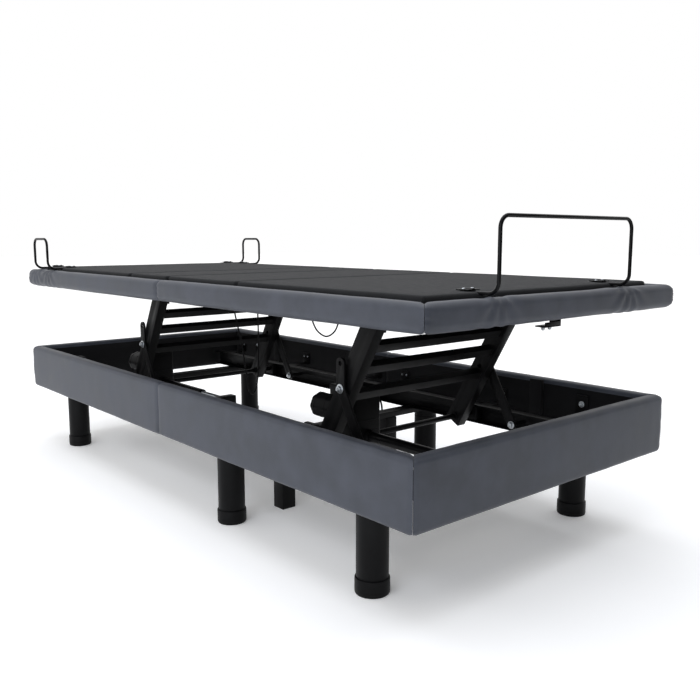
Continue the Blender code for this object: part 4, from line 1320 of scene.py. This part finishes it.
@dataclass
class Deck:
    """The platform, its drives, its beams and its control box."""

    hinge_y: tuple[float, ...] = (-0.33, -0.02, 0.33)
    hinge_half: float = 0.020
    lug_bolt_y: tuple[float, ...] = (0.322, 0.352)
    box_vents: int = 7
    box_plugs: int = 4
    unit_vents: int = 9

    def side_lug(self) -> None:
        """Hangs a folded steel lug under the left side of the border, near the foot lift unit."""
        lug = bmesh.new()
        bolts = bmesh.new()
        top = box_of("border_left_foot")[0].z - 0.0006
        for corner, opposite in (
            ((0.716, 0.372, top - 0.003), (0.752, 0.418, top)),
            ((0.716, 0.372, top - 0.062), (0.752, 0.376, top - 0.001)),
            ((0.716, 0.306, top - 0.064), (0.752, 0.376, top - 0.060)),
            ((0.748, 0.306, top - 0.064), (0.752, 0.376, top - 0.050)),
        ):
            eased_block(lug, corner, opposite, 0.001, 2)
        for y in self.lug_bolt_y:
            hex_bolt(bolts, (0.732, y, top - 0.064), (0, 0, -1), 0.010, 0.002)
        finish_piece("border_side_lug", lug, BLACK_POWDER, Body.DECK.value)
        finish_piece("border_lug_bolts", bolts, ZINC, Body.DECK.value)

    def platform(self) -> None:
        """Lays the four sections."""
        for node in ("back_section", "seat_section", "thigh_section", "foot_section"):
            PlatformSection(node).make()

    def hinges(self) -> None:
        """Screws a strap hinge under each fold, three to a fold."""
        seat_low, seat_high = box_of("seat_section")
        knuckles = bmesh.new()
        leaves = bmesh.new()
        screws = bmesh.new()
        under = seat_high.z - 0.0252
        for x, way in ((seat_low.x - 0.004, 1), (seat_high.x + 0.004, -1)):
            for y in self.hinge_y:
                near, far = sorted((x + way * 0.006, x + way * 0.046))
                right, left = y - self.hinge_half, y + self.hinge_half
                eased_block(leaves, (near, right, under - 0.0022), (far, left, under), 0.0006)
                eased_round(
                    knuckles, (x + way * 0.007, y - self.hinge_half, under - 0.003),
                    (x + way * 0.007, y + self.hinge_half, under - 0.003), 0.0034, 20, 0.0004,
                )
                for offset in (0.020, 0.036):
                    dome_screw(screws, (x + way * offset, y, under - 0.0022), (0, 0, -1), 0.0036)
        finish_piece("seat_hinge_leaves", leaves, GREY_POWDER, Body.DECK.value)
        finish_piece("seat_hinge_barrels", knuckles, ZINC, Body.DECK.value)
        finish_piece("seat_hinge_screws", screws, ZINC, Body.DECK.value)

    def drives(self) -> list[DeckDrive]:
        """The two drives, with their hinges taken from the joints."""
        places = {joint["name"]: Vector(joint["pos_m"]) for joint in frame["joints"] if joint.get("pos_m")}
        seat_low, seat_high = box_of("seat_section")
        return [
            DeckDrive("back", "back_section", places["back_raise"], 65.0, -1, seat_low.x - 0.034),
            DeckDrive("leg", "thigh_section", places["thigh_raise"], 35.0, 1, seat_high.x + 0.034),
        ]

    def control_box(self) -> None:
        """Builds the control box: two shells, sockets with plugs in them, vents and screws."""
        low, high = box_of("control_box")
        body = Body.DECK.value
        shape = bmesh.new()
        eased_block(shape, low, high, 0.006, 4)
        middle = (low.z + high.z) / 2
        eased_block(
            shape, (low.x - 0.0004, low.y - 0.0004, middle - 0.001),
            (high.x + 0.0004, high.y + 0.0004, middle + 0.001), 0.0003,
        )
        for index in range(self.box_vents):
            x = low.x + 0.030 + index * 0.010
            eased_block(
                shape, (x, low.y + 0.020, low.z - 0.0008), (x + 0.004, high.y - 0.046, low.z + 0.002), 0.0006
            )
        finish_piece("control_box_shell", shape, HOUSING_PLASTIC, body, ("control_box",))
        plugs = bmesh.new()
        for index in range(self.box_plugs):
            y = low.y + 0.022 + index * 0.022
            eased_block(
                plugs, (high.x - 0.002, y - 0.006, middle - 0.012),
                (high.x + 0.014, y + 0.006, middle - 0.002), 0.0016, 2,
            )
            eased_round(
                plugs, (high.x + 0.012, y, middle - 0.007), (high.x + 0.026, y, middle - 0.008), 0.0034, 16,
                0.0005, end_radius=0.0026,
            )
        finish_piece("control_box_plugs", plugs, NYLON, body)
        screws = bmesh.new()
        for x in (low.x + 0.010, high.x - 0.010):
            for y in (low.y + 0.010, high.y - 0.010):
                dome_screw(screws, (x, y, low.z), (0, 0, -1), 0.0036)
        finish_piece("control_box_screws", screws, ZINC, body)

    def power_unit(self) -> None:
        """Builds the mains power unit that stands between the rails."""
        low, high = box_of("power_unit")
        shape = bmesh.new()
        eased_block(shape, low, high, 0.006, 4)
        for index in range(self.unit_vents):
            y = low.y + 0.028 + index * 0.011
            eased_block(
                shape, (low.x + 0.02, y, high.z - 0.002), (high.x - 0.02, y + 0.005, high.z + 0.0008), 0.0007
            )
        finish_piece("power_unit_shell", shape, HOUSING_PLASTIC, Body.BASE.value, ("power_unit",))

    def make(self) -> None:
        """Builds everything on the deck except the border."""
        self.platform()
        self.side_lug()
        self.hinges()
        for drive in self.drives():
            drive.make()
        EasedPart("actuator_beam", GREY_POWDER, 0.0014).make()
        self.control_box()
        self.power_unit()


@dataclass
class Retainer:
    """A bent wire loop that keeps the mattress in place, with the clamp brackets it slides into."""

    node: str
    radius: float = 0.00425
    bend: float = 0.025

    def corners(self) -> list[Vector]:
        """The wire's corner points, worked out from its CAD box."""
        low, high = box_of(self.node)
        inset = Vector((self.radius,) * 3)
        low, high = low + inset, high - inset
        if self.node == "foot_retainer":
            return [
                Vector((low.x - self.radius, low.y, low.z)), Vector((high.x, low.y, low.z)),
                Vector((high.x, low.y, high.z)), Vector((high.x, high.y, high.z)),
                Vector((high.x, high.y, low.z)), Vector((low.x - self.radius, high.y, low.z)),
            ]
        outer, inner = (high.y, low.y - self.radius) if low.y > 0 else (low.y, high.y + self.radius)
        return [
            Vector((low.x, inner, low.z)), Vector((low.x, outer, low.z)), Vector((low.x, outer, high.z)),
            Vector((high.x, outer, high.z)), Vector((high.x, outer, low.z)), Vector((high.x, inner, low.z)),
        ]

    def line(self, steps: int = 10) -> list[Vector]:
        """The wire's centre line, with a round bend at each corner."""
        corners = self.corners()
        points = [corners[0]]
        for before, corner, after in zip(corners, corners[1:], corners[2:]):
            arrive = (before - corner).normalized() * self.bend
            leave = (after - corner).normalized() * self.bend
            centre = corner + arrive + leave
            for step in range(steps + 1):
                angle = math.pi / 2 * step / steps
                points.append(centre - leave * math.cos(angle) - arrive * math.sin(angle))
        points.append(corners[-1])
        return points

    def brackets(self) -> None:
        """Clamps each end of the wire to its platform section with a folded saddle and two screws."""
        corners = self.corners()
        plates = bmesh.new()
        screws = bmesh.new()
        for inner, outer in ((corners[0], corners[1]), (corners[-1], corners[-2])):
            way = (outer - inner).normalized()
            centre = inner + way * 0.036
            side = Vector((0, 0, 1)).cross(way)
            half = side * 0.019 + way * 0.016
            reach = Vector((abs(half.x), abs(half.y), 0))
            base = centre + Vector((0, 0, 0.0052))
            eased_block(plates, base - reach, base + reach + Vector((0, 0, 0.0022)), 0.0007, 2)
            eased_round(
                plates, base - way * 0.016 - Vector((0, 0, 0.0030)),
                base + way * 0.016 - Vector((0, 0, 0.0030)), 0.0074, 24, 0.0006,
            )
            for sign in (-1, 1):
                dome_screw(screws, base + side * 0.0135 * sign + Vector((0, 0, 0.0022)), (0, 0, 1), 0.0040)
        body = body_of(self.node)
        finish_piece(f"{self.node}_saddles", plates, BLACK_POWDER, body)
        finish_piece(f"{self.node}_screws", screws, ZINC, body)

    def make(self) -> None:
        """Sweeps the wire and clamps it."""
        piece = swept_tube(f"{self.node}_wire", self.line(), self.radius, WIRE_POWDER, body_of(self.node), 8)
        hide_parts(self.node)
        self.brackets()


# --- cords ------------------------------------------------------------------------------------


def swept_tube(
    name: str, points: Sequence[Vector], radius: float, finish: Finish, body: str, resolution: int = 4
) -> Piece:
    """Sweeps a round section along points, as a curve with closed ends.

    Args:
        name: The piece's name.
        points: Its centre line.
        radius: Its radius.
        finish: What it is made of.
        body: The CAD body it rides on.
        resolution: The curve's bevel resolution.

    Returns:
        The curve object.
    """
    curve = bpy.data.curves.new(name, "CURVE")
    curve.dimensions = "3D"
    curve.bevel_depth = radius
    curve.bevel_resolution = resolution
    curve.use_fill_caps = True
    spline = curve.splines.new("POLY")
    spline.points.add(len(points) - 1)
    for point, place in zip(spline.points, points):
        point.co = (*place, 1.0)
    spline.use_smooth = True
    curve.materials.append(finish.material())
    made = bpy.data.objects.new(name, curve)
    bpy.context.scene.collection.objects.link(made)
    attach(made, body)
    return made


def smooth_route(route: Sequence[Corner], steps: int) -> list[Vector]:
    """Points along a smooth curve through a cord's route."""
    ends = [Vector(route[0]) * 2 - Vector(route[1])]
    ends += [Vector(point) for point in route]
    ends.append(Vector(route[-1]) * 2 - Vector(route[-2]))
    points = [ends[1]]
    for before, start, end, after in zip(ends, ends[1:], ends[2:], ends[3:]):
        for step in range(1, steps + 1):
            t = step / steps
            straight = start * 2 + (end - before) * t
            bend = (before * 2 - start * 5 + end * 4 - after) * t * t
            twist = (start * 3 - before - end * 3 + after) * t * t * t
            points.append((straight + bend + twist) / 2)
    return points


@dataclass
class Cords:
    """The mains lead with its coil and plug, and the loom that hangs from the control box."""

    lead_radius: float = 0.0032
    loom_radius: float = 0.0025
    coil_radius: float = 0.038
    coil_columns: int = 3
    coil_layers: int = 4
    coil_steps: int = 28
    coil_gap: float = 0.0003
    touch: float = 0.0004

    def coil(self, centre: Vector, start: Vector) -> list[Vector]:
        """Winds the spare length into a neat coil.

        Args:
            centre: The coil's centre on the floor.
            start: Where the lead comes in, on the outermost turn.

        Returns:
            The points of the winding, from the outermost turn of the bottom layer to the top.
        """
        pitch = 2 * self.lead_radius + self.coil_gap
        outer = self.coil_radius + pitch * (self.coil_columns - 1) / 2
        points = []
        angle = -math.pi / 2
        radius = outer
        height = start.z
        for layer in range(self.coil_layers):
            inward = layer % 2 == 0
            for turn in range(self.coil_columns):
                last_turn = turn == self.coil_columns - 1
                for step in range(self.coil_steps):
                    angle -= 2 * math.pi / self.coil_steps
                    if not last_turn:
                        radius += (-pitch if inward else pitch) / self.coil_steps
                    elif layer < self.coil_layers - 1 and step >= self.coil_steps / 2:
                        height += pitch / (self.coil_steps / 2)
                    points.append(
                        centre + Vector((radius * math.cos(angle), radius * math.sin(angle), height))
                    )
        return points

    def mains_lead(self) -> None:
        """Lays the lead from the power unit to its coil, and dresses the plug."""
        unit_low, unit_high = box_of("power_unit")
        plug_low, plug_high = box_of("mains_plug")
        coil_low, coil_high = box_of("mains_coil")
        outlet_x = unit_high.x + self.touch
        outlet_y = (unit_low.y + unit_high.y) / 2
        floor = self.lead_radius + self.touch
        centre = Vector(((coil_low.x + coil_high.x) / 2, (coil_low.y + coil_high.y) / 2, 0))
        outer = self.coil_radius + 2 * self.lead_radius + self.coil_gap
        join = Vector((centre.x + 0.036, centre.y - outer, floor))
        route = [
            (outlet_x, outlet_y, (unit_low.z + unit_high.z) / 2),
            (outlet_x + 0.024, outlet_y, 0.234),
            (outlet_x + 0.042, outlet_y - 0.004, 0.200),
            (outlet_x + 0.040, outlet_y - 0.011, 0.110),
            (outlet_x + 0.010, outlet_y - 0.021, 0.030),
            (outlet_x - 0.050, outlet_y - 0.031, floor + 0.004),
            (outlet_x - 0.130, outlet_y - 0.041, floor),
            (outlet_x - 0.260, outlet_y - 0.066, floor),
            (outlet_x - 0.390, outlet_y - 0.108, floor),
            (join.x + 0.060, join.y - 0.002, floor),
            tuple(join),
            (centre.x + 0.012, join.y, floor),
        ]
        points = smooth_route(route, 8) + self.coil(centre, join)
        last = points[-1]
        entry = Vector((plug_low.x, (plug_low.y + plug_high.y) / 2, (plug_low.z + plug_high.z) / 2))
        turn_start = Vector((centre.x, centre.y + outer, last.z))
        for step in range(1, 15):
            angle = -math.pi / 2 - math.pi * step / 14
            points.append(centre + Vector((outer * math.cos(angle), outer * math.sin(angle), last.z)))
        tail = [
            turn_start, turn_start + Vector((0.016, 0.0004, -0.001)), entry - Vector((0.012, 0, 0)), entry
        ]
        points += smooth_route(tail, 6)[1:]
        piece = swept_tube("mains_cord", points, self.lead_radius, CORD_JACKET, Body.BASE.value, 4)
        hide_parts("mains_lead", "mains_coil")
        relief = bmesh.new()
        start = Vector(route[0])
        eased_round(
            relief, start, start + Vector((0.024, 0, -0.003)), 0.0068, 28, 0.0006, 2, end_radius=0.0042
        )
        for index in range(4):
            place = start + Vector((0.005 + index * 0.0048, 0, -0.0006 * index))
            eased_round(
                relief, place, place + Vector((0.0022, 0, -0.0003)), 0.0072 - index * 0.0006, 28, 0.0004
            )
        relief_piece = finish_piece("mains_strain_relief", relief, CORD_JACKET, Body.BASE.value)
        plug = self.plug(plug_low, plug_high)

    def plug(self, low: Vector, high: Vector) -> Piece:
        """Builds a moulded mains plug with a grip and three flat pins."""
        shape = bmesh.new()
        body_high = high - Vector((0.017, 0, 0))
        eased_block(shape, low, body_high, 0.007, 4)
        for index in range(4):
            x = low.x + 0.006 + index * 0.0045
            eased_block(
                shape, (x, low.y - 0.0004, low.z + 0.008), (x + 0.002, high.y + 0.0004, high.z - 0.008),
                0.0005,
            )
        middle = (low + high) / 2
        for y, z in ((-0.007, 0.004), (0.007, 0.004), (0.0, -0.008)):
            eased_block(
                shape, (body_high.x - 0.001, middle.y + y - 0.0030, middle.z + z - 0.0008),
                (high.x, middle.y + y + 0.0030, middle.z + z + 0.0008), 0.0004,
            )
        return finish_piece("mains_plug_body", shape, CORD_JACKET, Body.BASE.value, ("mains_plug",))

    def hang(self, name: str, node: str, route: Sequence[Corner], steps: int) -> None:
        """Hangs a thin cord between two places on the deck.

        Args:
            name: The piece's name.
            node: The CAD cord that it stands for.
            route: The points that it passes through.
            steps: Points on each stretch of the route.
        """
        points = smooth_route(route, steps)
        piece = swept_tube(name, points, self.loom_radius, CORD_JACKET, Body.DECK.value, 4)
        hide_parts(node)

    def loom(self) -> None:
        """Hangs the loom from the control box down past the rails and back up to the seat section."""
        route = [
            (-0.172, -0.098, box_of("control_box")[0].z - self.touch),
            (-0.172, -0.092, 0.520),
            (-0.170, -0.070, 0.420),
            (-0.168, -0.055, 0.320),
            (-0.170, -0.045, 0.262),
            (-0.178, -0.024, 0.240),
            (-0.184, -0.004, 0.262),
            (-0.186, 0.006, 0.330),
            (-0.186, 0.008, 0.450),
            (-0.186, 0.006, 0.560),
            (-0.186, 0.005, box_of("seat_section")[0].z - self.touch),
        ]
        self.hang("deck_loom_cord", "deck_loom", route, 10)

    def link(self) -> None:
        """Hangs the short cord that joins the two actuators' housings."""
        leg_floor = box_of("leg_actuator")[0].z - self.touch
        back_floor = box_of("back_actuator")[0].z - self.touch
        route = [
            (0.085, 0.030, leg_floor),
            (0.085, 0.030, leg_floor - 0.012),
            (0.089, 0.046, leg_floor - 0.042),
            (0.095, 0.076, leg_floor - 0.060),
            (0.100, 0.106, back_floor - 0.052),
            (0.103, 0.122, back_floor - 0.016),
            (0.103, 0.122, back_floor),
        ]
        self.hang("motor_link_wire", "motor_link_cord", route, 7)

    def make(self) -> None:
        """Lays every cord."""
        self.mains_lead()
        self.loom()
        self.link()


# --- studio -----------------------------------------------------------------------------------


@dataclass
class Studio:
    """A pale floor, soft light and the camera."""

    camera_at: tuple[float, float, float] = (1.985, -1.453, 0.7605)
    heading: float = 0.860
    pitch: float = -0.1432
    lens: float = 39.92
    floor_colour: str = "#FFFFFF"
    light_colour: str = "#F0F5FF"
    flag_low: tuple[float, float, float] = (2.5, -1.3, 0.4)
    flag_high: tuple[float, float, float] = (2.52, 3.2, 2.9)
    floor_glow: float = 0.14

    def set_piece(
        self, name: str, shape: Shape, finish: str, inputs: dict[str, object]
    ) -> Piece:
        """Stands a piece of the studio, which is no part of the object.

        Args:
            name: Its name.
            shape: Its mesh; it is freed.
            finish: Its material's name.
            inputs: The values of its material.

        Returns:
            The piece.
        """
        mesh = bpy.data.meshes.new(name)
        shape.to_mesh(mesh)
        shape.free()
        made = bpy.data.materials.new(finish)
        made.use_nodes = True
        set_inputs(made.node_tree, made.node_tree.nodes["Principled BSDF"], inputs)
        mesh.materials.append(made)
        piece = bpy.data.objects.new(name, mesh)
        bpy.context.scene.collection.objects.link(piece)
        return piece

    def floor(self) -> None:
        """Lays the floor."""
        shape = bmesh.new()
        bmesh.ops.create_grid(shape, x_segments=2, y_segments=2, size=30)
        white = linear(self.floor_colour)
        self.set_piece("studio_floor", shape, "matt white studio floor", {
            "Base Color": white,
            "Roughness": 0.9,
            "Emission Color": white,
            "Emission Strength": self.floor_glow,
        })

    def flag(self) -> None:
        """Stands an unseen black card past the foot end, so that the end is dimmer than the sides."""
        shape = bmesh.new()
        add_block(shape, self.flag_low, self.flag_high)
        velvet = {"Base Color": linear("#050505"), "Roughness": 1.0}
        self.set_piece("black_flag", shape, "black studio velvet", velvet).visible_camera = False

    def lights(self) -> None:
        """Hangs two large soft lights in an evenly white room."""
        for name, place, size, power, target in (
            ("key softbox", (1.9, -3.4, 1.6), 2.2, 44.0, (0.5, 0.0, 0.4)),
            ("top softbox", (0.0, 0.2, 3.8), 4.0, 70.0, (0.0, 0.0, 0.0)),
        ):
            data = bpy.data.lights.new(name, "AREA")
            data.shape = "SQUARE"
            data.size = size
            data.energy = power
            data.color = linear(self.light_colour)[:3]
            lamp = bpy.data.objects.new(name, data)
            lamp.location = place
            lamp.rotation_euler = (Vector(target) - Vector(place)).to_track_quat("-Z", "Y").to_euler()
            bpy.context.scene.collection.objects.link(lamp)
        world = bpy.data.worlds.new("studio")
        world.use_nodes = True
        shade = world.node_tree.nodes["Background"]
        shade.inputs["Color"].default_value = linear("#FFFFFF")
        shade.inputs["Strength"].default_value = 1.0
        bpy.context.scene.world = world

    def camera(self) -> None:
        """Sets the camera."""
        data = bpy.data.cameras.new("camera")
        data.sensor_width = 36
        data.lens = self.lens
        data.clip_start = 0.01
        camera = bpy.data.objects.new("camera", data)
        camera.location = self.camera_at
        camera.rotation_euler = (math.pi / 2 + self.pitch, 0, self.heading)
        bpy.context.scene.collection.objects.link(camera)
        bpy.context.scene.camera = camera

    def make(self) -> None:
        """Builds the studio."""
        bpy.context.scene.view_settings.view_transform = "Standard"
        self.camera()
        self.floor()
        self.flag()
        self.lights()


def main() -> None:
    """Builds every sub-assembly in order."""
    Studio().make()
    Cords().make()
    Upholstery().make()
    BaseFrame().make()
    for place in ("head", "middle", "foot"):
        for side in ("right", "left"):
            Leg(f"leg_{place}_{side}").make()
    for unit in Unit:
        LiftUnit(unit).make()
    Deck().make()
    for node in ("foot_retainer", "head_retainer_right", "head_retainer_left"):
        Retainer(node).make()


if __name__ == "__main__":
    logging.basicConfig(level=logging.INFO)
    main()
